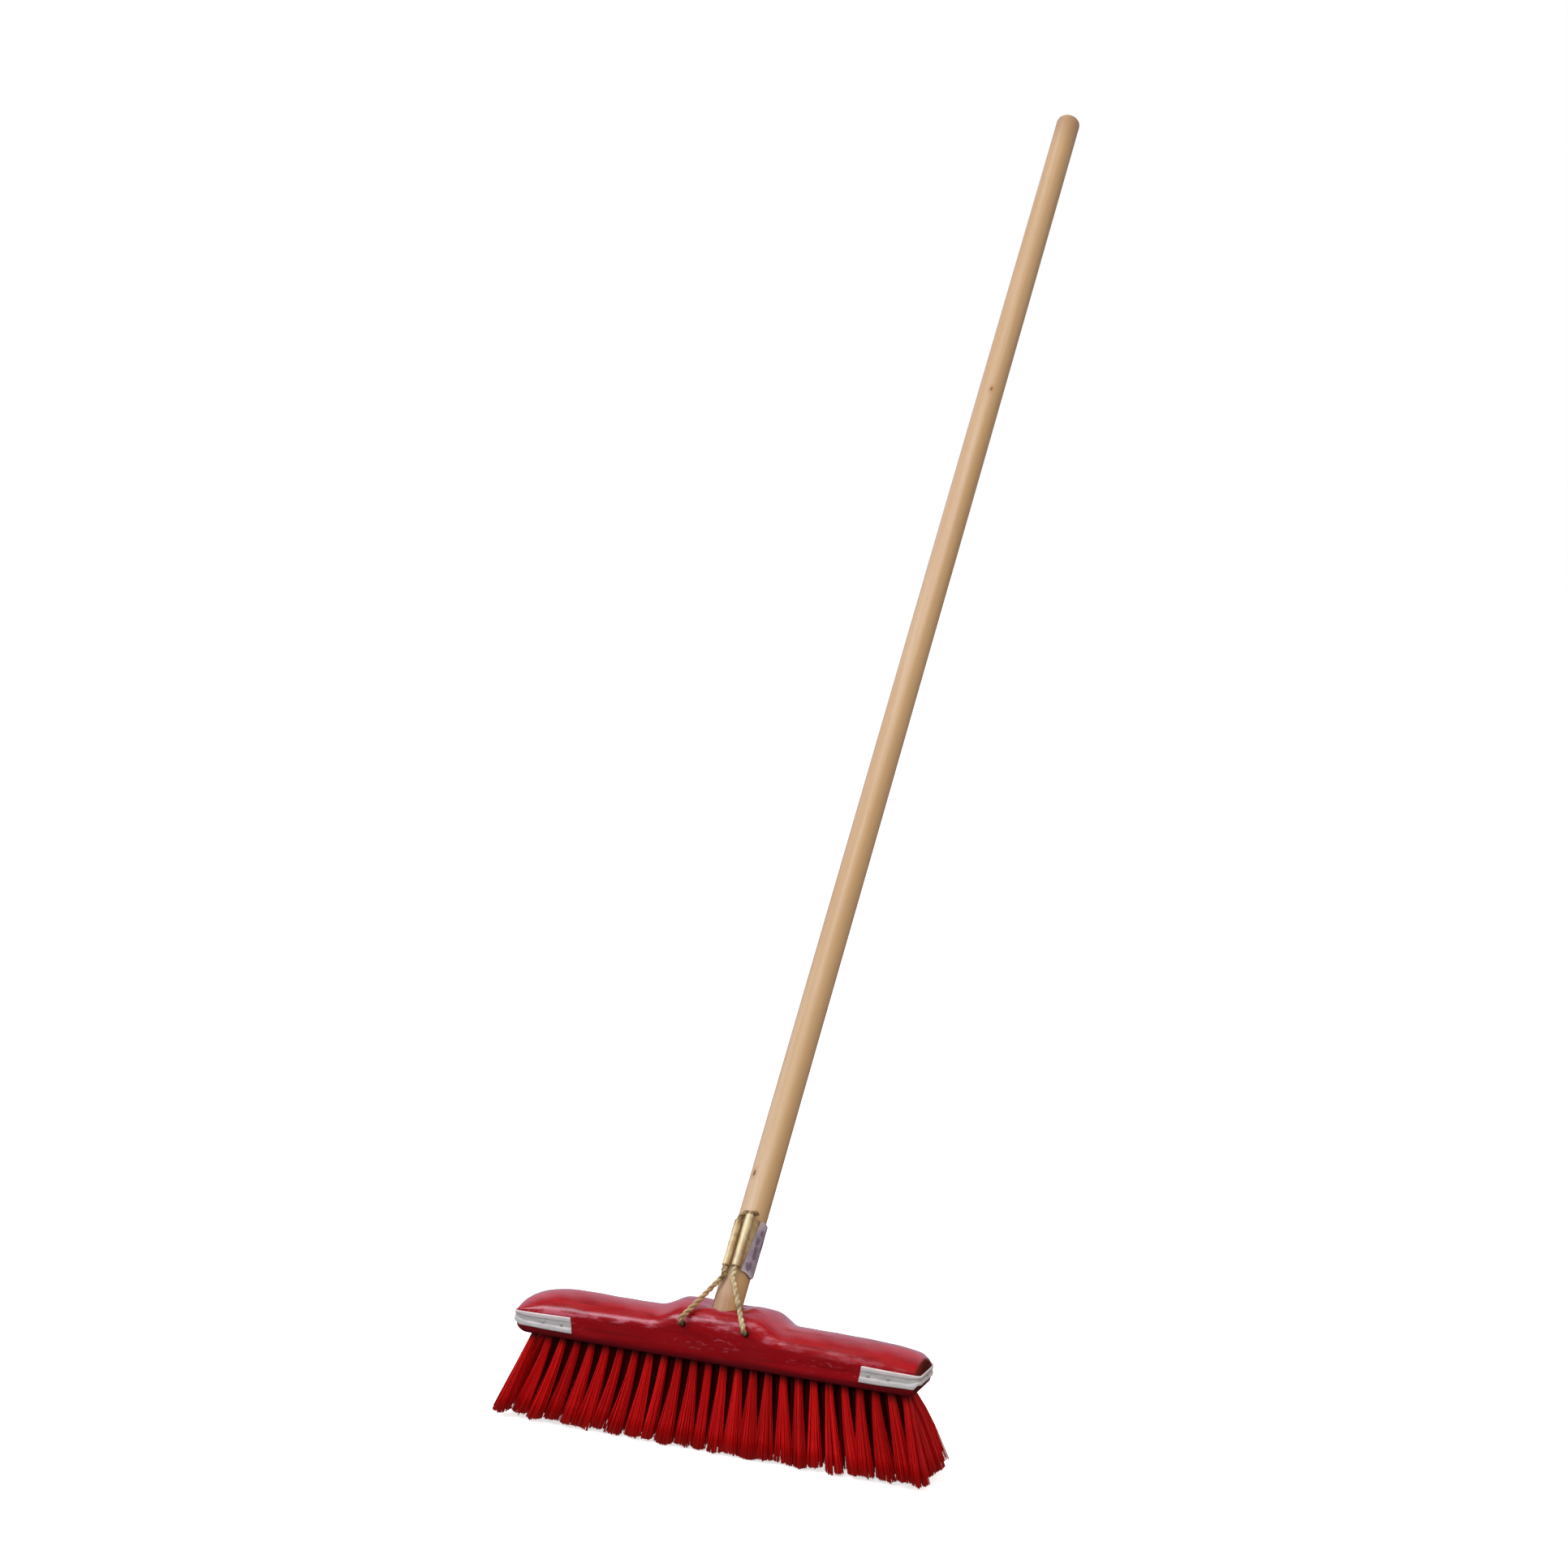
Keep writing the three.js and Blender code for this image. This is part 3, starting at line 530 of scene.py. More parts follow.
# Stretch is the cloud's scale on each axis, once it is turned to the tilt of the handle.
def zinc_material(name, dull, bright, brown, stretch, metallic, wire=False):
    sh = new_shader(name)
    place = sh.coords()
    turned = sh.mapped(place, stretch, rotation=(-TILT, 0, 0))
    cloud = sh.noise(turned, 1.0, detail=4, rough=0.6, distortion=0.3)
    tone = sh.noise(place, (90, 90, 90), detail=3, rough=0.5, location=(2, 5, 1))
    spots = sh.noise(place, (700, 700, 700), detail=3, rough=0.5)
    colour = sh.mix(sh.ramp(cloud, 0.3, 0.7), dull, bright)
    colour = sh.tint(colour, brown, sh.ramp(tone, 0.5, 0.7), amount=0.6)
    colour = sh.tint(colour, (216, 200, 146), sh.ramp(tone, 0.42, 0.3), amount=0.2)
    colour = sh.tint(colour, (120, 88, 54), sh.ramp(spots, 0.62, 0.72), amount=0.4)
    # painted highlight along the middle of each eye, and painted shade on the right of each eye
    # and round the back of the sleeve
    colour = sh.tint(colour, (255, 246, 204), sh.attr("light"),
                     amount=sh.ramp(cloud, 0.25, 0.6, to=(0.65, 1.0)))
    mottle = sh.noise(place, (170, 170, 110), detail=2, rough=0.5, location=(1, 4, 8))
    colour = sh.tint(colour, (150, 106, 68), sh.attr("shade"),
                     amount=sh.ramp(mottle, 0.3, 0.6, to=(0.35, 0.75)))
    if wire:
        # duller and browner on the left leg, darker where it goes into the block and brown at the
        # hooked end
        leg = sh.mul(sh.ramp(sh.split(place)[0], -0.005, -0.014),
                     sh.ramp(tone, 0.2, 0.6, to=(0.75, 1.0)))
        colour = sh.tint(colour, (206, 166, 122), leg, amount=0.75)
        near_hole_dark = sh.ramp(sh.attr("foot"), 0.36, 0.20)
        colour = sh.tint(colour, (66, 58, 38), near_hole_dark, amount=0.82)
        colour = sh.tint(colour, (140, 104, 70), sh.attr("tail"), amount=0.7)
    height = sh.add(sh.mul(cloud, 0.6), sh.mul(spots, 0.3))
    return sh.principled(
        Base_Color=colour, Metallic=metallic,
        Roughness=sh.ramp(cloud, 0.2, 0.8, to=(0.34, 0.50)),
        Normal=sh.bump(height, strength=0.25, distance=0.0004))


# Soft stains on the label, as (u, v, half width, half height) in shares of the sheet.
STAINS = [(0.17, 0.62, 0.10, 0.09), (0.21, 0.44, 0.11, 0.10), (0.24, 0.34, 0.10, 0.07),
          (0.19, 0.13, 0.12, 0.09), (0.22, 0.80, 0.07, 0.06), (0.52, 0.60, 0.10, 0.12),
          (0.74, 0.38, 0.12, 0.10)]


def label_material():
    sh = new_shader("label_paper")
    place = sh.coords()
    sheet = sh.attr("sheet", "Vector")
    u, v, edge = sh.split(sheet)
    fibre = sh.noise(place, (1400, 1400, 1400), detail=4, rough=0.6)
    cloud = sh.noise(place, (120, 120, 120), detail=3, rough=0.6)
    warp = sh.noise(sheet, (11, 6.5, 1), detail=3, rough=0.6, distortion=0.4,
                    location=(0.4, 0.2, 0))
    colour = sh.mix(sh.ramp(cloud, 0.3, 0.7), (148, 132, 150), (176, 162, 178))
    # paler along the top and the bottom
    colour = sh.tint(colour, (208, 198, 206), sh.ramp(v, 0.78, 0.98), amount=0.6)
    colour = sh.tint(colour, (204, 196, 206), sh.ramp(v, 0.16, 0.0), amount=0.5)
    stain = None
    for stain_u, stain_v, half_width, half_height in STAINS:
        across = sh.math("DIVIDE", sh.sub(u, stain_u), half_width)
        upward = sh.math("DIVIDE", sh.sub(v, stain_v), half_height)
        distance = sh.add(sh.mul(across, across), sh.mul(upward, upward))
        distance = sh.add(distance, sh.mul(sh.sub(warp, 0.5), 4.0))
        blob = sh.ramp(distance, 1.5, 0.0)
        stain = blob if stain is None else sh.max(stain, blob)
    colour = sh.tint(colour, (84, 70, 90), stain, amount=0.72)
    colour = sh.tint(colour, (206, 198, 210), sh.ramp(edge, 0.04, 0.0), amount=0.4)
    colour = sh.tint(colour, (140, 128, 148), sh.ramp(fibre, 0.5, 0.75), amount=0.2)
    height = sh.add(sh.mul(fibre, 0.3), sh.mul(cloud, 0.7))
    return sh.principled(Base_Color=colour, Roughness=0.55, Specular_IOR_Level=0.35,
                         Normal=sh.bump(height, strength=0.25, distance=0.0005))


def bristle_material():
    sh = new_shader("red_bristle")
    # the tone varies at random from fibre to fibre, and carries painted shade towards the sides
    # of each tuft
    tone = sh.attr("tone")        # each fibre's own shade
    depth = sh.attr("depth")      # 0 outside the brush, 1 in its middle
    along = sh.attr("along")      # 0 at the root, 1 at the tip
    fleck = sh.noise(sh.coords(), (500, 500, 60), detail=3, rough=0.6)
    colour = sh.mix(tone, (178, 4, 7), (250, 26, 26))
    colour = sh.tint(colour, (150, 2, 8), sh.ramp(fleck, 0.35, 0.7), amount=0.25)
    colour = sh.tint(colour, (226, 80, 70), sh.ramp(along, 0.86, 1.0), amount=0.18)
    # deep inside the brush the fibres are lost in shade, less so close to the tips
    shade = sh.mul(depth, sh.ramp(along, 0.35, 1.0, to=(1.0, 0.55)))
    colour = sh.mix(shade, colour, (14, 0, 2))
    # painted shade at the roots, under the block
    colour = sh.tint(colour, (26, 0, 2), sh.ramp(along, 0.16, 0.0), amount=0.85)
    # a faint glow of painted light, standing in for the light that thin nylon passes on; it keeps
    # the red deep and full
    glow = sh.mix(shade, colour, (0, 0, 0))
    return sh.principled(
        Base_Color=colour, Roughness=0.42, IOR=1.49, Specular_IOR_Level=0.25,
        Emission_Color=glow, Emission_Strength=sh.ramp(along, 0.0, 0.35, to=(0.0, 0.06)),
        Normal=sh.bump(fleck, strength=0.15, distance=0.0003))


# ---------------------------------------------------------------- block
# The end stations lie beyond the last profile, which is drawn in there by an inset.
PROFILE_REACH = 200.8
# (distance from the middle, inset) of the stations at each end, from the end inward
END_STATIONS = [(201.2, 1.3), (201.15, 1.0), (201.0, 0.6), (200.7, 0.25), (200.3, 0.06),
                (199.7, 0.0), (198.9, 0.0), (197.9, 0.0), (196.7, 0.0), (195.2, 0.0),
                (193.7, 0.0)]
LOWER_EDGE_R = 0.9
BACK_EDGE_IN, BACK_EDGE_DOWN = 1.5, 1.6


def front_y(x):
    past = max(0.0, abs(x) - (HALF_LENGTH - FRONT_CORNER_R))
    return FRONT_Y + FRONT_CORNER_R - math.sqrt(max(0.0, FRONT_CORNER_R ** 2 - past * past))


def back_y(x):
    past = max(0.0, abs(x) - (HALF_LENGTH - BACK_CORNER_R))
    return BACK_Y - BACK_CORNER_R + math.sqrt(max(0.0, BACK_CORNER_R ** 2 - past * past))


# Height of the top above the underside; depth runs from -1 at the front to 1 at the back.
def top_height(x, depth):
    wider = 6.0 if x > 0 else 0.0
    front_boss = 1 - smooth(36, 66, abs(x))
    boss = 1 - smooth(38 + wider, 70 + wider, abs(x))
    wing = soft_table(RIDGE, x)
    front = wing + (BOSS_FRONT - wing) * front_boss
    back = wing + (BOSS_BACK - wing) * boss
    wing_rise = soft_table(CROWN, x) - wing
    rise = wing_rise + (BOSS_CROWN - 0.0015 * x * x - wing_rise) * boss
    return float(front + (back - front) * (depth + 1) / 2 + rise * (1 - depth * depth))


# The ends are rounded underneath, over a longer stretch on the left, more steeply on the right.
def end_lift(x):
    along, rise = (12.5, 10.5) if x < 0 else (10.0, 13.0)
    past = max(0.0, abs(x) - (HALF_LENGTH - along)) / along
    return rise * (1 - math.sqrt(max(0.0, 1 - past * past)))


# The front top edge is eased barely at the ends, more along the wings, most on the boss.
def ridge_round(x):
    wing = 1.6 + 3.6 * float(1 - smooth(172, 200, abs(x)))
    return wing + 4.3 * float(1 - smooth(38, 72, abs(x)))


def bezier2(first, middle, last, count):
    first, middle, last = (np.array(q) for q in (first, middle, last))
    return [tuple((1 - t) ** 2 * first + 2 * t * (1 - t) * middle + t * t * last)
            for t in np.linspace(0, 1, count)]


# Cross-section as (y, height), from the front lower edge over the top to the back lower edge.
# Every ring has the same number of points, in the same order.
def block_ring(x):
    front, back = front_y(x), back_y(x)
    width = back - front
    front_top, back_top = top_height(x, -1), top_height(x, 1)
    lift = end_lift(x)
    ease = ridge_round(x)
    edge = LOWER_EDGE_R
    quarter = [math.radians(90 * k / 3) for k in range(4)]
    ring = [(front + edge - edge * math.sin(a), lift + edge - edge * math.cos(a))
            for a in quarter]
    for k in range(1, 12):
        ring.append((front, lift + edge + (front_top - ease - lift - edge) * k / 12))
    eased = top_height(x, -1 + 2 * ease / width)
    ring += bezier2((front, front_top - ease), (front, front_top + 0.1 * (eased - front_top)),
                    (front + ease, eased), 16)
    for y in np.linspace(front + ease, back - BACK_EDGE_IN, 46)[1:-1]:
        ring.append((y, top_height(x, -1 + 2 * (y - front) / width)))
    eased = top_height(x, 1 - 2 * BACK_EDGE_IN / width)
    back_wall = back_top - BACK_EDGE_DOWN
    ring += bezier2((back - BACK_EDGE_IN, eased), (back, back_top), (back, back_wall), 6)
    for k in range(1, 12):
        ring.append((back, back_wall + (lift + edge - back_wall) * k / 12))
    ring += [(back - edge + edge * math.cos(a), lift + edge - edge * math.sin(a))
             for a in quarter]
    return np.array(ring)


def shrunk(values, inset):
    middle = (values.min() + values.max()) / 2
    half = (values.max() - values.min()) / 2
    return middle + (values - middle) * (1 - inset / half)


# Vertices of one ring, with the unevenness of the top.
def block_section(x, inset):
    ring = block_ring(max(-PROFILE_REACH, min(PROFILE_REACH, x)))
    ring_y, ring_z = ring[:, 0], ring[:, 1]
    y, z = shrunk(ring_y, inset), shrunk(ring_z, inset)
    # hand-finished surface: the top wanders by a tenth or two of a millimetre
    top = smooth(10, 24, ring_z)
    slow = 0.22 * np.sin(x * 0.061 + ring_y * 0.19) * np.sin(x * 0.023 + 1.3)
    z = z + top * (slow + 0.10 * np.sin(x * 0.21 + ring_y * 0.33 + 0.7))
    # the boss falls away behind its front ridge, round the sides of the handle
    behind = (y - FOOT[1]) / 17.7
    away = np.hypot((x - FOOT[0]) / 14.0, behind)
    fall = smooth(-1.0, -0.15, behind) * (1 - smooth(0.45, 1.1, behind))
    z = z - top * 4.2 * fall * (1 - smooth(1.0, 2.2, away))
    return [(x, a, UNDERSIDE + b) for a, b in zip(y, z)]


def tuft_places(row):
    count = ROW_COUNTS[row - 1]
    pitch, shift = (MIDDLE_PITCH, 0.0) if row == 3 else (TUFT_PITCH, ROW_SHIFT)
    return [(shift + (i - (count - 1) / 2) * pitch, (row - 3) * ROW_PITCH) for i in range(count)]


def hole_rim(x, y):
    angles = [2 * math.pi * k / HOLE_SIDES for k in range(HOLE_SIDES)]
    return [(x + HOLE_R * math.cos(a), y + HOLE_R * math.sin(a)) for a in angles]


# Triangulates the underside round the drilled holes and adds the blind holes themselves.
# The outline holds vertex numbers: along the front lower edge, then back along the rear one.
def add_underside(verts, faces, outline, stations):
    count = len(stations)
    points = [Vector((verts[i][0], verts[i][1])) for i in outline]
    edges = [(k, (k + 1) % len(outline)) for k in range(len(outline))]
    # across the rounded ends, so that the strips there follow the curve
    edges += [(i, 2 * count - 1 - i) for i in range(1, count - 1)
              if stations[i][0] >= 192.0 or stations[i][0] <= -188.0]
    holes = [place for row in range(1, 6) for place in tuft_places(row)]
    loops = []
    for place in holes:
        loop = list(range(len(points), len(points) + HOLE_SIDES))
        points += [Vector(q) for q in hole_rim(*place)]
        edges += [(loop[k], loop[(k + 1) % HOLE_SIDES]) for k in range(HOLE_SIDES)]
        loops.append(loop)
    flat_verts, _, triangles, origins, _, _ = delaunay_2d_cdt(points, edges, [], 1, 1e-5)

    vertex_of_flat, vertex_of_point = [], {}
    for vert, sources in zip(flat_verts, origins):
        known = [outline[s] for s in sources if s < len(outline)]
        if known:
            number = known[-1]
        else:
            number = len(verts)
            verts.append((vert.x, vert.y, UNDERSIDE + end_lift(vert.x)))
        vertex_of_flat.append(number)
        for s in sources:
            vertex_of_point[s] = number

    centres = np.array(holes)
    for face in triangles:
        middle = sum((flat_verts[k] for k in face), Vector((0, 0))) / len(face)
        apart = (centres[:, 0] - middle.x) ** 2 + (centres[:, 1] - middle.y) ** 2
        if np.min(apart) >= (HOLE_R * 0.97) ** 2:
            faces.append(tuple(vertex_of_flat[k] for k in face))
    for place, loop in zip(holes, loops):
        rim = [vertex_of_point[i] for i in loop]
        deep = list(range(len(verts), len(verts) + HOLE_SIDES))
        verts += [(x, y, UNDERSIDE + HOLE_DEPTH) for x, y in hole_rim(*place)]
        for k in range(HOLE_SIDES):
            after = (k + 1) % HOLE_SIDES
            faces.append((rim[k], rim[after], deep[after], deep[k]))
        faces.append(tuple(deep))


# The drilled holes for the stay wires, flared at the front face, and the slanted socket.
def block_cutters():
    z = WIRE_HOLE_Z
    cutters = []
    for _, sign in SIDES:
        x = sign * WIRE_HOLE_X
        cutters.append(make_cutter(
            [(x, -11.5, z), (x, -16, z), (x, -23.4, z), (x, -25.2, z + 0.1), (x, -30, z + 0.4)],
            [3.15, 3.15, 3.15, 3.7, 5.4], 24))
    socket_r = HANDLE_R + 0.25
    stations = (-HANDLE_DOWN - 0.5, -8, 6, 40)
    cutters.append(make_cutter([in_handle(s) for s in stations],
                               [TIP_R + 0.6, socket_r, socket_r, socket_r], 72))
    return cutters


# Masks for the lacquer: the front top edge, the front face and its lower part, which carries
# painted shade.
def mark_block(mesh):
    spots = np.zeros(len(mesh.vertices) * 3, np.float32)
    mesh.vertices.foreach_get("co", spots)
    x, y, z = (spots.reshape(-1, 3) / MM).T
    edge_y = np.array([front_y(min(HALF_LENGTH, max(-HALF_LENGTH, v))) for v in x])
    reached = np.clip(x, -PROFILE_REACH, PROFILE_REACH)
    edge_z = np.array([top_height(v, -1) for v in reached]) + UNDERSIDE
    distance = np.hypot(y - edge_y, z - edge_z)
    ease = np.array([ridge_round(v) for v in x])
    above = z - UNDERSIDE
    add_attributes(mesh, {
        "ridge": np.exp(-((distance - 0.35 * ease) / (0.6 * ease)) ** 2),
        "face": (1 - smooth(1.0, 4.0, y - edge_y)) * smooth(4, 10, above),
        "low": (1 - smooth(1.0, 9.0, above)) * (1 - smooth(-20, -10, y))})


def build_block(material):
    stations = [(-x, inset) for x, inset in END_STATIONS]
    stations += [(x, 0.0) for x in np.linspace(-192.1, 192.1, 320)]
    stations += reversed(END_STATIONS)
    sections = [block_section(*station) for station in stations]
    verts = [v for section in sections for v in section]
    count, size = len(sections), len(sections[0])
    faces = []
    for i in range(count - 1):
        for k in range(size - 1):
            a = i * size + k
            faces.append((a, a + size, a + size + 1, a + 1))
    faces.append(tuple(range(size)))
    faces.append(tuple((count - 1) * size + k for k in reversed(range(size))))
    outline = [i * size for i in range(count)]
    outline += [i * size + size - 1 for i in reversed(range(count))]
    add_underside(verts, faces, outline, stations)
    block = solid("block_body", verts, faces, material)
    for cutter in block_cutters():
        cut(block, cutter)
    mark_block(block.data)
    sharp_by_angle(block, 38)
    return block


# ---------------------------------------------------------------- handle
def handle_profile():
    chamfer = 0.6
    profile = [(-HANDLE_DOWN, 0.2), (-HANDLE_DOWN, TIP_R - chamfer),
               (-HANDLE_DOWN + chamfer, TIP_R)]
    for k in range(1, 9):
        profile.append((-HANDLE_DOWN + chamfer + (TIP_CONE - chamfer) * k / 8,
                        TIP_R + (HANDLE_R - TIP_R) * k / 8))
    for station in np.linspace(-HANDLE_DOWN + TIP_CONE + 1, HANDLE_UP - DOME,
                               300):
        profile.append((station, HANDLE_R))
    for k in range(1, 15):
        angle = math.radians(90 * k / 14)
        profile.append((HANDLE_UP - DOME + DOME * math.sin(angle),
                        max(0.15, HANDLE_R * math.cos(angle) ** 0.62)))
    return profile


def build_handle(material):
    sides = 96
    profile = handle_profile()
    verts, local = [], []
    for station, radius in profile:
        for k in range(sides):
            a = 2 * math.pi * k / sides
            # turned pole: very slightly out of round and uneven along its length
            oval = 0.004 * math.sin(2 * a + station * 0.004)
            uneven = 0.003 * math.sin(station * 0.013 + 1.1) * math.cos(a * 3)
            turned = min(radius * (1 + oval + uneven), HANDLE_R + 0.12)
            across, out = turned * math.sin(a), turned * math.cos(a)
            verts.append(in_handle(station, across, out))
            local.append((across * MM, out * MM, station * MM))
    return solid("handle_pole", verts, ring_faces(len(profile), sides), material,
                 {"wood": local}, sharp=50)


# ---------------------------------------------------------------- end guards
# Outline of the block's end at a given distance from it, from the front strip round the right
# end to the back strip.
def guard_line(away):
    front_x, front_cy = HALF_LENGTH - FRONT_CORNER_R, FRONT_Y + FRONT_CORNER_R
    back_x, back_cy = HALF_LENGTH - BACK_CORNER_R, BACK_Y - BACK_CORNER_R
    line = [(x, FRONT_Y - away) for x in np.arange(GUARD_FROM_X, front_x, 1.6)]
    for a in np.radians(np.linspace(-90, 0, 12)):
        line.append((front_x + (FRONT_CORNER_R + away) * math.cos(a),
                     front_cy + (FRONT_CORNER_R + away) * math.sin(a)))
    line += [(HALF_LENGTH + away, y) for y in np.linspace(front_cy, back_cy, 16)[1:-1]]
    for a in np.radians(np.linspace(0, 90, 26)):
        line.append((back_x + (BACK_CORNER_R + away) * math.cos(a),
                     back_cy + (BACK_CORNER_R + away) * math.sin(a)))
    line += [(x, BACK_Y + away) for x in np.linspace(back_x, GUARD_FROM_X, 28)[1:]]
    return line


# Closed section as (distance out, share of the height), with how deep in the groove each point
# lies: two raised beads with a flat groove between.
def guard_profile():
    outer, inner, deep = [], [], []
    for h in np.concatenate([[0.0, 0.008, 0.025], np.linspace(0.05, 0.95, 46),
                             [0.975, 0.992, 1.0]]):
        bead = 1 - smooth(0.26, 0.40, h) + smooth(0.64, 0.76, h)
        crown = 0.0
        if h < 0.32:
            crown = 0.16 * math.sin(math.pi * h / 0.32)
        elif h > 0.70:
            crown = 0.16 * math.sin(math.pi * (1 - h) / 0.30)
        edge = 0.5 * (1 - smooth(0.0, 0.035, h)) + 0.5 * smooth(0.965, 1.0, h)
        outer.append((1.15 + 0.55 * bead + crown - edge, h))
        inner.append((max(0.05, 0.5 * bead + crown * 0.8), h))
        deep.append(1 - bead)
    return outer + inner[::-1], deep + deep[::-1]


def build_guard(side, sign, material):
    profile, deep = guard_profile()
    count = len(guard_line(GUARD_GAP))
    rng = np.random.default_rng(11 if side == "left" else 12)
    along = np.linspace(0, 1, count)
    wave = np.interp(along, np.linspace(0, 1, 13), rng.normal(0, 0.10, 13))
    lift = np.interp(along, np.linspace(0, 1, 9), rng.normal(0, 0.14, 9))
    corner_rise = 2.8 if side == "left" else GUARD_END_RISE
    lines = {}
    verts = []
    for i in range(count):
        for out, h in profile:
            # only the outer face is dented
            away = GUARD_GAP + max(0.0, out + (wave[i] if out > 0.9 else 0))
            key = round(away, 3)
            if key not in lines:
                lines[key] = guard_line(away)
            x, y = lines[key][i]
            inner_end = 1 - float(smooth(GUARD_FROM_X, 196, x))
            end_rise = GUARD_END_RISE * float(smooth(191, 200.5, x))
            low = GUARD_LOW - 0.7 * inner_end + end_rise
            high = GUARD_HIGH + 1.1 * inner_end
            z = low + lift[i] + (high - low) * h
            # the lower bead keeps its width nearly to the corner
            rise = corner_rise * float(smooth(196, 201, x))
            z -= (end_rise - rise) * max(0.0, 1 - h / 0.40)
            # the inner end of the front strip is snipped out of square, and reaches further
            # in on the left
            snip = 0.0
            if y < 0:
                snip = 2.2 * h * max(0.0, 1 - (x - GUARD_FROM_X) / 14)
                if side == "left":
                    snip -= 2.0 * max(0.0, 1 - (x - GUARD_FROM_X) / 30)
            verts.append((sign * (x + snip), y, UNDERSIDE + z))
    return solid("guard_" + side, verts, ring_faces(count, len(profile)), material,
                 {"groove": deep * count, "height": [h for _, h in profile] * count}, sharp=50)


# (distance out from the block, radius) of a nail: the pointed shank, then the domed head
NAIL_SHANK = [(-13.8, 0.2), (-11.5, 0.9), (1.45, 0.9)]
NAIL_HEAD = [(1.5, 1.75), (1.56, 1.88), (1.7, 1.9), (1.86, 1.82), (2.0, 1.6), (2.1, 1.2),
             (2.16, 0.7), (2.18, 0.15)]


def build_nail(name, place, outward, material):
    in_end = outward[0] != 0
    head_scale = 0.74 if in_end else 1.0
    profile = NAIL_SHANK + [(out, radius * head_scale) for out, radius in NAIL_HEAD]
    place, outward = np.array(place, float), np.array(outward, float)
    across = np.array([0.0, 1.0, 0.0] if in_end else [1.0, 0.0, 0.0])
    upright = np.cross(outward, across)
    verts = []
    for out, radius in profile:
        verts += circle(place + outward * out, across, upright, radius, 24)
    return solid(name, verts, ring_faces(len(profile), 24), material, sharp=40)


# (name, place, direction of the head) of the five nails of one guard
def guard_nails(sign):
    z = UNDERSIDE + GUARD_LOW + 0.49 * (GUARD_HIGH - GUARD_LOW)
    nails = []
    for face, y, outward in (("front", FRONT_Y, (0, -1, 0)), ("back", BACK_Y, (0, 1, 0))):
        nails.append((face + "_inner", (sign * NAIL_INNER_X, y, z), outward))
        nails.append((face + "_outer", (sign * NAIL_OUTER_X, y, z), outward))
    end = (sign * HALF_LENGTH, END_NAIL_Y, z + GUARD_END_RISE / 2)
    return nails + [("end", end, (sign, 0, 0))]


# ---------------------------------------------------------------- stay: clip, label and wires
SHEET = 0.62
SLEEVE_R = HANDLE_R + 0.8


def polar(radius, degrees):
    angle = math.radians(degrees)
    return np.array([radius * math.sin(angle), radius * math.cos(angle)])


# Points rolled round an eye, for turns in degrees from its side towards the handle axis.
def eye_roll(centre, turns, radii):
    towards_axis = math.degrees(math.atan2(-centre[1], -centre[0]))
    angles = np.radians(towards_axis + turns)
    return centre + np.stack([np.cos(angles), np.sin(angles)], axis=1) * radii[:, None]


# Centreline of the sheet as (across, out) round the handle axis, with its shade and light.
def clip_line():
    # right eye, rolled nearly twice, from its inside end outwards
    turns = np.linspace(620, 12, 96)
    right_c = polar(*EYE_RIGHT)
    right = eye_roll(right_c, -turns, 3.82 - 0.72 * np.maximum(0.0, (turns - 300) / 320))
    # round the back of the handle
    back = np.array([polar(SLEEVE_R, d)
                     for d in np.linspace(EYE_RIGHT[1] + 3.2, EYE_LEFT[1] + 360 - 3.2, 150)])
    left_c = polar(*EYE_LEFT)
    left = eye_roll(left_c, np.linspace(12, 318, 52), np.full(52, 3.42))
    # painted light and shade: each eye is lit along its middle and shaded towards its right, and
    # the sheet round the back is shaded
    on_right = (right[:, 0] - right_c[0]) / 3.8
    on_left = (left[:, 0] - left_c[0]) / 3.4
    shade = np.concatenate([smooth(0.5, 1.05, on_right), np.full(len(back), 0.6),
                            0.6 * smooth(0.3, 0.9, on_left)])
    light = np.concatenate([np.exp(-((on_right - 0.02) / 0.5) ** 2), np.zeros(len(back)),
                            0.5 * np.exp(-((on_left + 0.2) / 0.3) ** 2)])
    return np.vstack([right, back, left]), shade, light


# Closed ring: one face of the sheet, then the other one backwards.
def ribbon(line, thick):
    tangent = np.gradient(line, axis=0)
    tangent /= np.linalg.norm(tangent, axis=1)[:, None]
    normal = np.stack([-tangent[:, 1], tangent[:, 0]], axis=1)
    return np.vstack([line + normal * thick / 2, (line - normal * thick / 2)[::-1]])


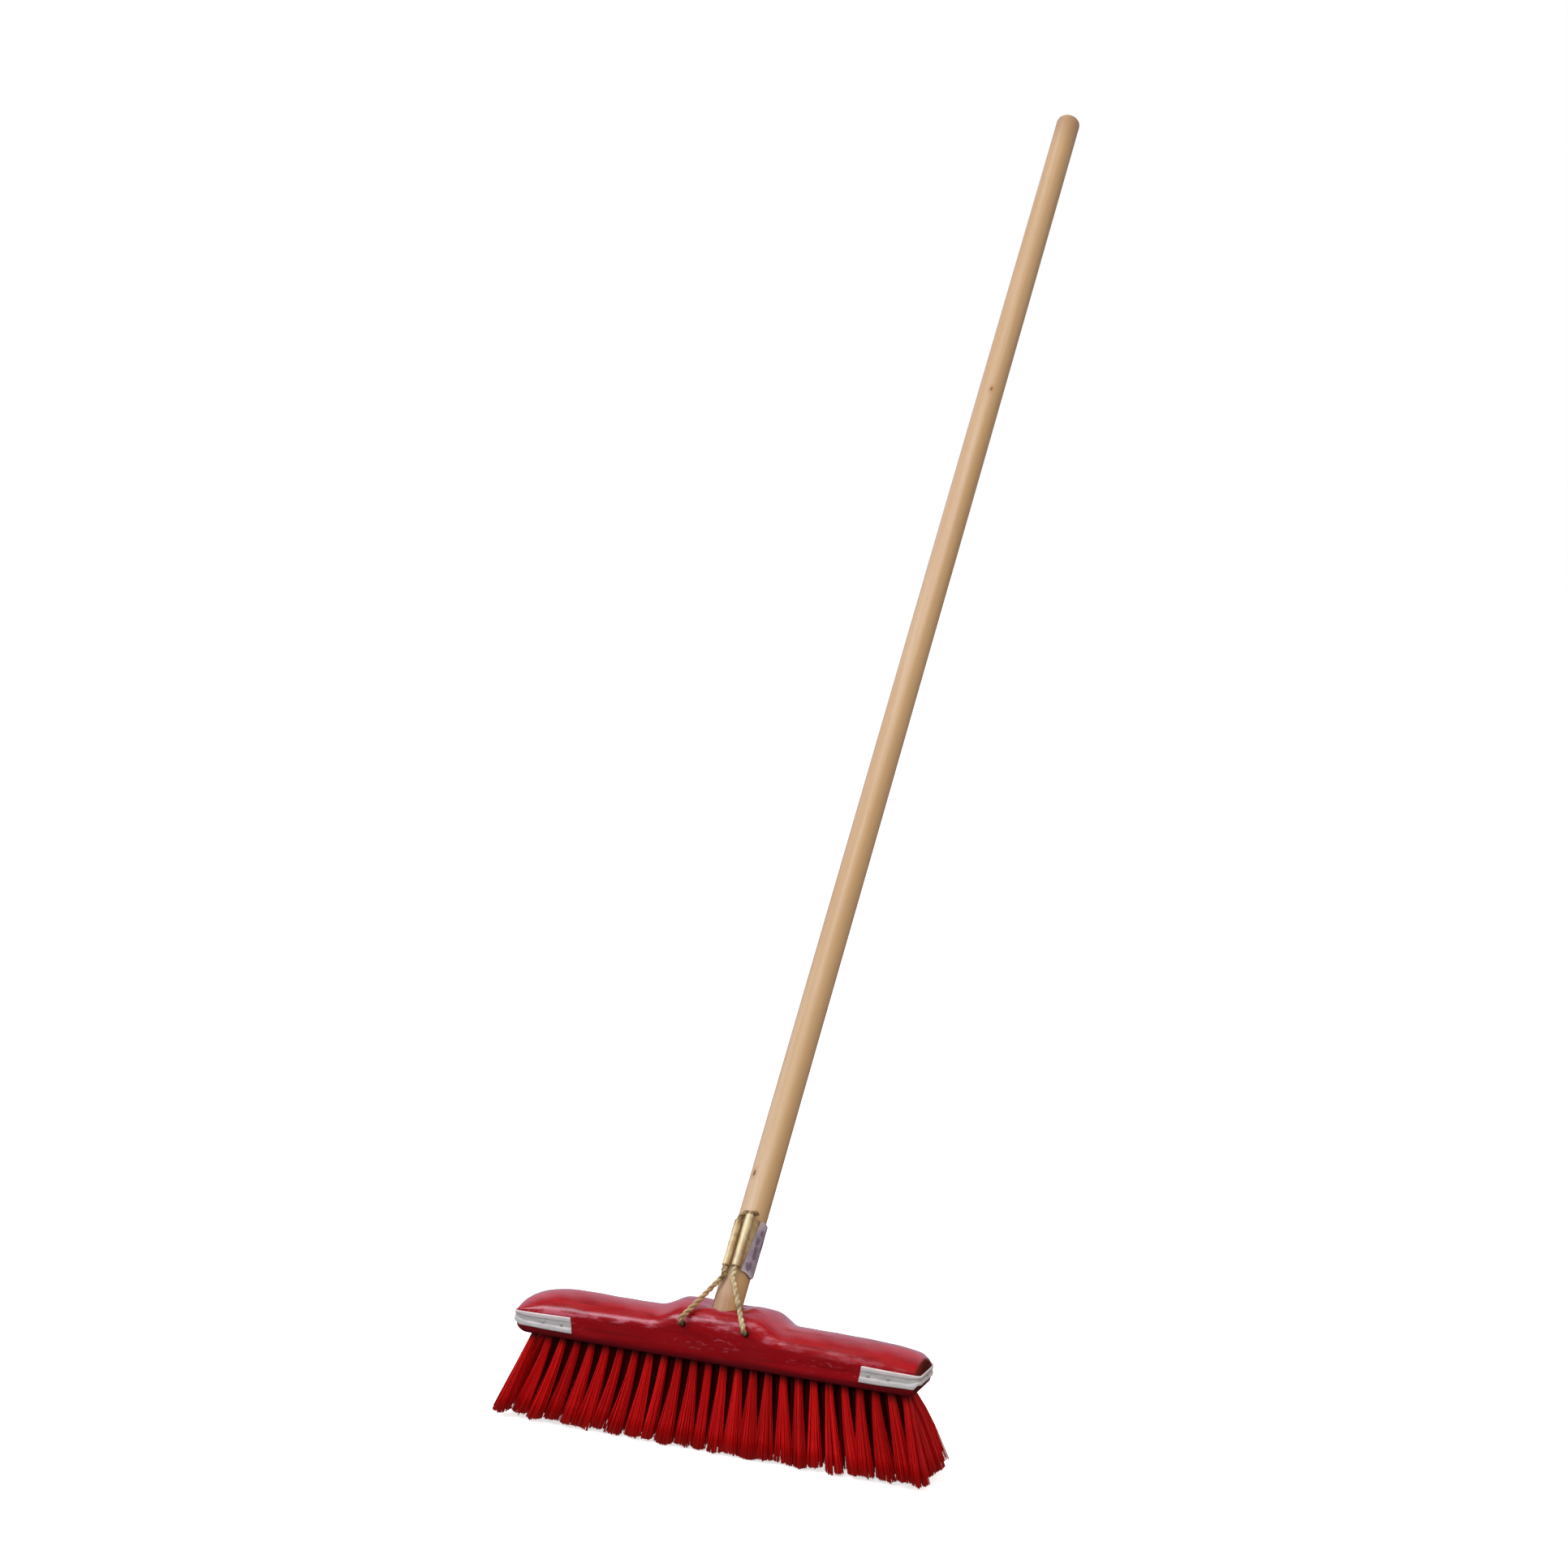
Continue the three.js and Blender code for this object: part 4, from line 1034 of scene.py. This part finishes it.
def build_clip(material):
    line, shade, light = clip_line()
    # (station, share of the sheet's thickness): thinner at both ends to soften the edges
    stations = [(CLIP_FROM, 0.45), (CLIP_FROM + 0.08, 0.75), (CLIP_FROM + 0.3, 1.0)]
    stations += [(s, 1.0) for s in np.linspace(CLIP_FROM + 1.5, CLIP_TO - 1.5, 34)]
    stations += [(CLIP_TO - 0.3, 1.0), (CLIP_TO - 0.08, 0.75), (CLIP_TO, 0.45)]
    in_eye = smooth(15.4, 17.0, np.linalg.norm(line, axis=1))
    verts = []
    for station, share in stations:
        # the rolls were bent by hand: they wander a little along their length
        wander = 0.10 * math.sin(station * 0.21) + 0.07 * math.sin(station * 0.47 + 1)
        bent = line * (1 + (in_eye * wander / 18.0)[:, None])
        verts += [in_handle(station, *q) for q in ribbon(bent, SHEET * share)]
    # end caps as a row of quads, so that no big face folds over itself
    half, size = len(line), 2 * len(line)
    faces = ring_faces(len(stations), size, caps=False)
    last = (len(stations) - 1) * size
    for k in range(half - 1):
        faces.append((k, k + 1, size - 2 - k, size - 1 - k))
        faces.append((last + k + 1, last + k, last + size - 1 - k, last + size - 2 - k))
    both_faces = {"shade": list(shade) + list(shade[::-1]),
                  "light": list(light) + list(light[::-1])}
    clip = solid("clip_sheet", verts, faces, material,
                 {name: values * len(stations) for name, values in both_faces.items()})
    # the left eye stops short of the top of the sleeve
    cut(clip, make_cutter([on_handle(CLIP_TO_LEFT, *EYE_LEFT), on_handle(CLIP_TO + 4, *EYE_LEFT)],
                          [4.25, 4.25], 40))
    sharp_by_angle(clip, 50)
    return clip


# The label runs round the right side of the sleeve: u from front to back, v upward.
def build_label(material):
    columns, rows = 60, 46
    inner_r, thick = 15.82, 0.22
    outer, inner, sheet = [], [], []
    phase = np.random.default_rng(5).uniform(0, 6.28, 4)
    for v in (j / (rows - 1) for j in range(rows)):
        for u in (i / (columns - 1) for i in range(columns)):
            first, last = 30.5 + 21.0 * v, 149.0
            degrees = first + (last - first) * u
            station = CLIP_FROM - 1.3 + (CLIP_TO - CLIP_FROM + 0.6) * v
            # wavy upper and lower edges, the lower one also stepped
            if v > 0.98:
                station += 0.35 * math.sin(u * 9 + phase[0])
            if v < 0.02:
                station += 0.3 * math.sin(u * 7 + phase[1])
            step = 2.8 * float(smooth(0.1, 0.4, u)) - 7.0 * float(smooth(0.46, 0.7, u))
            station -= step * max(0.0, 1 - v / 0.35)
            # small ripples, and the front edge lifted a little
            lift = 0.13 * (1 + math.sin(u * 11 + v * 5 + phase[2]))
            lift *= 0.4 + 0.6 * math.sin(v * 9 + phase[3]) ** 2
            lift += 0.25 * float(1 - smooth(0.0, 0.05, u))
            outer.append(on_handle(station, inner_r + lift + thick, degrees))
            inner.append(on_handle(station, inner_r + lift, degrees))
            sheet.append((u, v, min(u, 1 - u, v, 1 - v)))
    size = columns * rows
    faces = []
    for j in range(rows - 1):
        for i in range(columns - 1):
            a = j * columns + i
            b = a + columns
            faces.append((a, a + 1, b + 1, b))
            faces.append((size + a, size + b, size + b + 1, size + a + 1))
    rim = list(range(columns))
    rim += [j * columns + columns - 1 for j in range(1, rows)]
    rim += [(rows - 1) * columns + i for i in reversed(range(columns - 1))]
    rim += [j * columns for j in reversed(range(1, rows - 1))]
    for a, b in zip(rim, rim[1:] + rim[:1]):
        faces.append((a, size + a, size + b, b))
    return solid("label_sheet", outer + inner, faces, material, {"sheet": sheet + sheet},
                 sharp=60)


# Hooked upper ends of the wires, as (station, across, out).
HOOKS = {"left": [(84.5, -5.6, 17.2), (88.2, -3.1, 17.0), (90.8, -0.9, 13.4), (91.0, -0.6, 8)],
         "right": [(90.2, 5.2, 17.2), (91.4, 6.6, 13.4), (91.5, 6.8, 8)]}
WIRE_R, TWIST_PITCH = 1.68, 13.0


# From inside the block, out of its front, up to the clip, through the eye and over.
def wire_line(side, sign):
    left = side == "left"
    radius, degrees = EYE_LEFT if left else EYE_RIGHT
    x, z = sign * WIRE_HOLE_X, WIRE_HOLE_Z
    foot = [(x, -14, z), (x, -20, z), (x, -24.5, z), (0.997 * x, -28.3, z + 1.6),
            (0.985 * x, -29.6, z + 6.2)]
    under = on_handle(CLIP_FROM - 10.5, radius - 0.8, degrees - (1 if left else 0))
    leg = [np.array(foot[-1]) * (1 - t) + under * t for t in (0.22, 0.45, 0.68, 0.88)]
    end = CLIP_TO_LEFT if left else CLIP_TO
    eye = [on_handle(s, radius, degrees)
           for s in (CLIP_FROM - 2, CLIP_FROM + 4, 46, 58, 70, end - 4, end + 1.2)]
    hook = [in_handle(*q) for q in HOOKS[side]]
    return catmull(foot + leg + [under] + eye + hook, 400)


def build_wire(side, sign, material):
    left = side == "left"
    line = wire_line(side, sign)
    across, upright = cross_directions(line)
    run = run_length(line)
    # the two strands lie tighter in the holes and a little looser near the block
    gap = smooth(10, 22, run) * (1 - smooth(30, 62, run))
    spread = 0.98 + 0.22 * gap * (1.0 if left else 0.4)
    spread = spread * (1.0 - 0.12 * (1 - smooth(4, 12, run)))
    radii = np.full(len(line), WIRE_R)
    radii[[0, -1]] *= 0.5
    sides = 14
    verts, faces = [], []
    for strand in (0, 1):
        angle = 2 * math.pi * run / TWIST_PITCH + strand * math.pi + (0.6 if left else 0.0)
        centres = line + across * (np.cos(angle) * spread)[:, None]
        centres = centres + upright * (np.sin(angle) * spread)[:, None]
        strand_verts, strand_faces = tube(centres, radii, sides, start=len(verts))
        verts += strand_verts
        faces += strand_faces
    foot = np.repeat(np.clip(run / 60.0, 0, 1), sides)
    tail = np.repeat(1 - smooth(8, 20, run[-1] - run), sides)
    return solid("wire_" + side, verts, faces, material,
                 {"foot": np.tile(foot, 2), "tail": np.tile(tail, 2)})


# ---------------------------------------------------------------- bristles
# Shares of the free length at which a fibre has a ring of vertices.
FIBRE_STEPS = (0.0, 0.14, 0.32, 0.54, 0.77, 1.0)
FIBRE_SIDES = 3


# The settings of one tuft, drawn at random in a fixed order.
class Tuft:
    def __init__(self, row, i, x, y, rng):
        front = row == 1
        middle = abs(x) < 9
        self.x, self.y = x, y
        self.last = row > 1 and abs(x) > 166
        self.end = float(smooth(166, 176, abs(x)))
        at_end = self.end >= 0.5
        behind = row - 1
        drift = 0.0 if middle or self.last else 1.5 * math.sin(1.9 * i + 2.3 * behind)
        level = 1.5 + 1.1 * math.sin(2.4 * i + 1.7 * behind) + 3.6 * (x / 187.5) ** 2
        level += 1.6 * behind if self.last else 0.0
        self.tip = np.array([x * (SPLAY_END if self.last else SPLAY_X) + drift, y * SPLAY_Y,
                             max(0.4, level)])
        self.lean = rng.normal(0, 0.9, 2)
        self.tone = rng.uniform(-0.16, 0.16)
        # some front tufts stay narrow, others open into a broad skirt
        width = rng.choice([7.4, 8.4, 9.4, 10.4]) if front else 11.0
        self.spread_x = width + rng.uniform(-0.4, 0.6)
        if self.end > 0.5:
            self.spread_x = 8.9 if x > 0 else 8.2
        # from front to back the front row stays close together, except at the ends
        thickness = 8.8 if at_end else 5.4 if front else 7.6
        self.spread_y = thickness + rng.uniform(-0.5, 0.6)
        # how early the fibres spread: late where negative
        self.early = 0.0 if front else 0.16
        if front and not at_end:
            self.early = rng.uniform(-0.20, -0.09)
        self.clumps = rng.normal(0, 1, (6, 2)) * 0.6
        # a few fibres draw together into small points below the rest: (x, y, drop)
        self.points = [(rng.uniform(-0.75, 0.75), rng.uniform(-0.5, 0.5), rng.uniform(0.8, 2.6))
                       for _ in range(rng.integers(1, 4))]
        count = 76
        self.count = int(count * 1.35) if at_end else count

    # Place in the tuft, from -1 to 1 both ways, drawn to clumps and points; and the drop.
    def gathered(self, share_x, share_y):
        apart = ((self.clumps - (share_x, share_y)) ** 2).sum(1)
        clump = self.clumps[int(np.argmin(apart))]
        x, y = share_x * 0.84 + clump[0] * 0.16, share_y * 0.84 + clump[1] * 0.16
        drop = 0.0
        for point_x, point_y, point_drop in self.points:
            near = math.exp(-((x - point_x) ** 2 + (y - point_y) ** 2) / 0.05)
            x += (point_x - x) * 0.6 * near
            y += (point_y - y) * 0.6 * near
            drop += point_drop * near
        if self.last:
            # the outside of the last tufts fans out and ends higher up
            drop -= 4.0 * max(0.0, x * math.copysign(1.0, self.x))
        return x, y, drop

    # Centreline of one fibre: its root in the hole, then a curve from the mouth to the tip.
    def fibre(self, share_x, share_y, share_r, rng):
        x, y, drop = self.gathered(share_x, share_y)
        root = np.array([self.x + 2.75 * share_x, self.y + 2.75 * share_y, UNDERSIDE + 4.5])
        mouth = np.array([self.x + 3.1 * share_x, self.y + 3.1 * share_y, UNDERSIDE + 0.5])
        end = self.tip + np.array([x * self.spread_x + self.lean[0] + rng.normal(0, 0.35),
                                   y * self.spread_y + self.lean[1] + rng.normal(0, 0.35), 0.0])
        # one fibre in fifty ends higher up
        end[2] += (1.7 * share_r ** 2.2 + rng.normal(0, 0.28) - drop
                   + (rng.uniform(1, 5) if rng.random() < 0.02 else 0))
        end[2] = max(0.15, end[2])
        bow = rng.normal(0, 0.4, 2)
        sideways = end - mouth
        sideways[2] = 0
        low = mouth + (end - mouth) * 0.30 + sideways * self.early
        high = mouth + (end - mouth) * 0.68 + sideways * self.early * 0.4 + np.array([*bow, 0])
        curve = [(1 - t) ** 3 * mouth + 3 * t * (1 - t) ** 2 * low
                 + 3 * t * t * (1 - t) * high + t ** 3 * end for t in FIBRE_STEPS]
        return [root] + curve


def build_row(row, material):
    rng = np.random.default_rng(100 + row)
    verts, faces, tone, depth, along = [], [], [], [], []
    rings = len(FIBRE_STEPS) + 1
    for i, (x, y) in enumerate(tuft_places(row)):
        tuft = Tuft(row, i, x, y, rng)
        for j in range(tuft.count):
            share_r = math.sqrt((j + 0.5) / tuft.count)
            # sunflower spiral, by the golden angle in radians
            turn = j * 2.399963 + i
            share_x, share_y = share_r * math.cos(turn), share_r * math.sin(turn)
            line = tuft.fibre(share_x, share_y, share_r, rng)
            direction = line[-1] - line[1]
            direction /= np.linalg.norm(direction)
            across = np.cross(direction, [0.2, 1.0, 0.1])
            across /= np.linalg.norm(across)
            upright = np.cross(direction, across)
            spin = rng.uniform(0, 6.28)
            radius = rng.uniform(0.38, 0.50)
            faces += ring_faces(rings, FIBRE_SIDES, start=len(verts))
            for k, (centre, step) in enumerate(zip(line, (0.0,) + FIBRE_STEPS)):
                ring_r = radius * (1.2 if k == rings - 1 else 1.0)
                verts += circle(centre, across, upright, ring_r, FIBRE_SIDES, spin)
                along += [step] * FIBRE_SIDES
            # random tone for each fibre, painted darker towards the sides of its tuft as shade
            # between tufts
            shade = 0.50 + tuft.tone + rng.normal(0, 0.24) - 0.30 * abs(share_x)
            tone += [min(1.0, max(0.0, shade))] * (FIBRE_SIDES * rings)
            # inner rows, and the inward side of the outer rows, sit in their neighbours' shadow
            outer = {1: -share_y, 5: share_y}.get(row, 0.0)
            inside = 0.40 * (1 - float(smooth(-0.55, 0.25, outer)))
            if row in (2, 3, 4):
                inside = 0.85
            depth += [inside * (1 - 0.95 * tuft.end)] * (FIBRE_SIDES * rings)
    return mesh_object(f"bristles_row_{row}", verts, faces, material,
                       {"tone": tone, "depth": depth, "along": along})


# ---------------------------------------------------------------- assemble
def register(obj, piece):
    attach(obj, "head")
    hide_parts(piece)


def build_broom():
    register(build_block(lacquer_material()), "broom_block")
    register(build_handle(wood_material()), "handle")
    steel, nail_steel = guard_material(), nail_material()
    for side, sign in SIDES:
        register(build_guard(side, sign, steel), "end_guard_" + side)
        for tag, place, outward in guard_nails(sign):
            nail = build_nail(f"nail_{side}_{tag}", place, outward, nail_steel)
            register(nail, f"guard_nail_{side}_{tag}")
    zinc = zinc_material("yellow_zinc", dull=(204, 166, 116), bright=(246, 228, 178),
                         brown=(146, 98, 62), stretch=(60, 60, 24), metallic=0.36)
    register(build_clip(zinc), "stay_clip")
    register(build_label(label_material()), "clip_label")
    zinc = zinc_material("yellow_zinc_wire", dull=(174, 146, 96), bright=(248, 234, 186),
                         brown=(100, 76, 40), stretch=(150, 150, 70), metallic=0.42, wire=True)
    for side, sign in SIDES:
        register(build_wire(side, sign, zinc), "stay_wire_" + side)
    nylon = bristle_material()
    for row in range(1, 6):
        bristles = build_row(row, nylon)
        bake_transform(bristles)
        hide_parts(f"bristle_row_{row}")


# ---------------------------------------------------------------- studio, in metres
def build_stage():
    sh = new_shader("studio_floor")
    glow = sh.new("Emission")
    glow.inputs["Strength"].default_value = 0.66
    diffuse = sh.new("BsdfDiffuse")
    diffuse.inputs["Color"].default_value = (0.86, 0.86, 0.86, 1)
    both = sh.new("AddShader")
    sh.put(both.inputs[0], glow.outputs[0])
    sh.put(both.inputs[1], diffuse.outputs[0])
    material = sh.surface(both.outputs[0])
    bm = bmesh.new()
    bmesh.ops.create_grid(bm, x_segments=8, y_segments=8, size=40.0)
    mesh = bpy.data.meshes.new("studio_floor")
    bm.to_mesh(mesh)
    bm.free()
    floor = bpy.data.objects.new("studio_floor", mesh)
    floor.location = (0, 0, -0.0004)
    bpy.context.scene.collection.objects.link(floor)
    mesh.materials.append(material)
    floor.visible_glossy = False
    floor.visible_diffuse = False


def build_world():
    world = bpy.data.worlds.new("studio")
    bpy.context.scene.world = world
    sh = Shader(world, "OutputWorld")
    x, y, z = sh.split(sh.coords("Generated"))
    # shiny surfaces see a pale wall behind, a pale left side and a dark room in front
    back = sh.mul(sh.ramp(y, 0.02, 0.42), sh.ramp(z, -0.25, -0.05, to=(0.25, 1.0)))
    left = sh.mul(sh.ramp(x, -0.35, -0.95), sh.ramp(z, 0.8, 0.3))
    left = sh.mul(left, sh.ramp(z, -0.3, 0.0))
    back = sh.mul(back, sh.ramp(z, 0.1, 0.85, to=(0.55, 1.15)))
    shiny = sh.add(sh.max(back, sh.mul(left, 0.7)), 0.03)
    # all else is lit softly from above, with a little more from the left
    soft = sh.ramp(z, -0.4, 0.9, to=(0.10, 0.55))
    soft = sh.add(soft, sh.mul(sh.ramp(x, 0.2, -0.9), 0.18))
    rays = sh.new("LightPath").outputs
    glossy = rays["Is Glossy Ray"]
    light = sh.add(sh.mul(shiny, glossy), sh.mul(soft, sh.sub(1.0, glossy)))
    # the camera sees plain white
    seen = sh.new("Mix", data_type="FLOAT")
    sh.put(seen.inputs[0], rays["Is Camera Ray"])
    sh.put(seen.inputs[2], light)
    sh.put(seen.inputs[3], 1.0)
    background = sh.new("Background")
    sh.put(background.inputs["Color"], sh.mix(glossy, (255, 255, 255), (240, 230, 255)))
    sh.put(background.inputs["Strength"], seen.outputs[0])
    sh.surface(background.outputs[0])


def area_light(name, place, target, size, power, colour, glossy=False):
    lamp = bpy.data.lights.new(name, "AREA")
    lamp.shape = "RECTANGLE"
    lamp.size, lamp.size_y = size
    lamp.energy = power
    lamp.color = colour
    obj = bpy.data.objects.new(name, lamp)
    obj.location = place
    aim = Vector(target) - Vector(place)
    obj.rotation_euler = aim.to_track_quat("-Z", "Y").to_euler()
    bpy.context.scene.collection.objects.link(obj)
    obj.visible_camera = False
    obj.visible_glossy = glossy


def build_lights():
    area_light("softbox_over", place=(-0.9, -0.9, 3.4), target=(0.0, 0.1, 0.1),
               size=(2.6, 2.6), power=52, colour=(1.0, 0.985, 0.96))
    area_light("window_front_left", place=(-1.60, -1.95, 2.2), target=(0.0, 0.0, 0.12),
               size=(1.1, 1.0), power=22, colour=(0.93, 0.86, 1.0), glossy=True)
    area_light("fill_right", place=(2.6, -0.7, 1.3), target=(0.1, 0.3, 0.5),
               size=(1.4, 2.0), power=17, colour=(1.0, 0.80, 0.56))
    area_light("fill_front", place=(0.9, -2.6, 1.3), target=(0.0, 0.0, 0.1),
               size=(1.4, 1.4), power=14, colour=(1.0, 1.0, 1.0))


# The camera is turned left by yaw, down by pitch and rolled about its view.
def build_camera():
    scene = bpy.context.scene
    lens = bpy.data.cameras.new("photo_view")
    camera = bpy.data.objects.new("photo_view", lens)
    scene.collection.objects.link(camera)
    lens.sensor_fit = "HORIZONTAL"
    lens.sensor_width = 36.0
    lens.lens = 63.13602484
    lens.clip_end = 200
    yaw, pitch, roll = (math.radians(d) for d in (19.95, 5.54, 3.19))
    forward = Vector((-math.sin(yaw) * math.cos(pitch), math.cos(yaw) * math.cos(pitch),
                      -math.sin(pitch)))
    level = Vector((math.cos(yaw), math.sin(yaw), 0))
    upright = level.cross(forward)
    right = level * math.cos(roll) + upright * math.sin(roll)
    top = -level * math.sin(roll) + upright * math.cos(roll)
    pose = Matrix((right, top, -forward)).transposed().to_4x4()
    pose.translation = Vector((0.88313, -2.34847, 0.86486))
    camera.matrix_world = pose
    scene.camera = camera
    scene.view_settings.view_transform = "Standard"
    scene.view_settings.look = "None"


build_broom()
build_stage()
build_world()
build_lights()
build_camera()
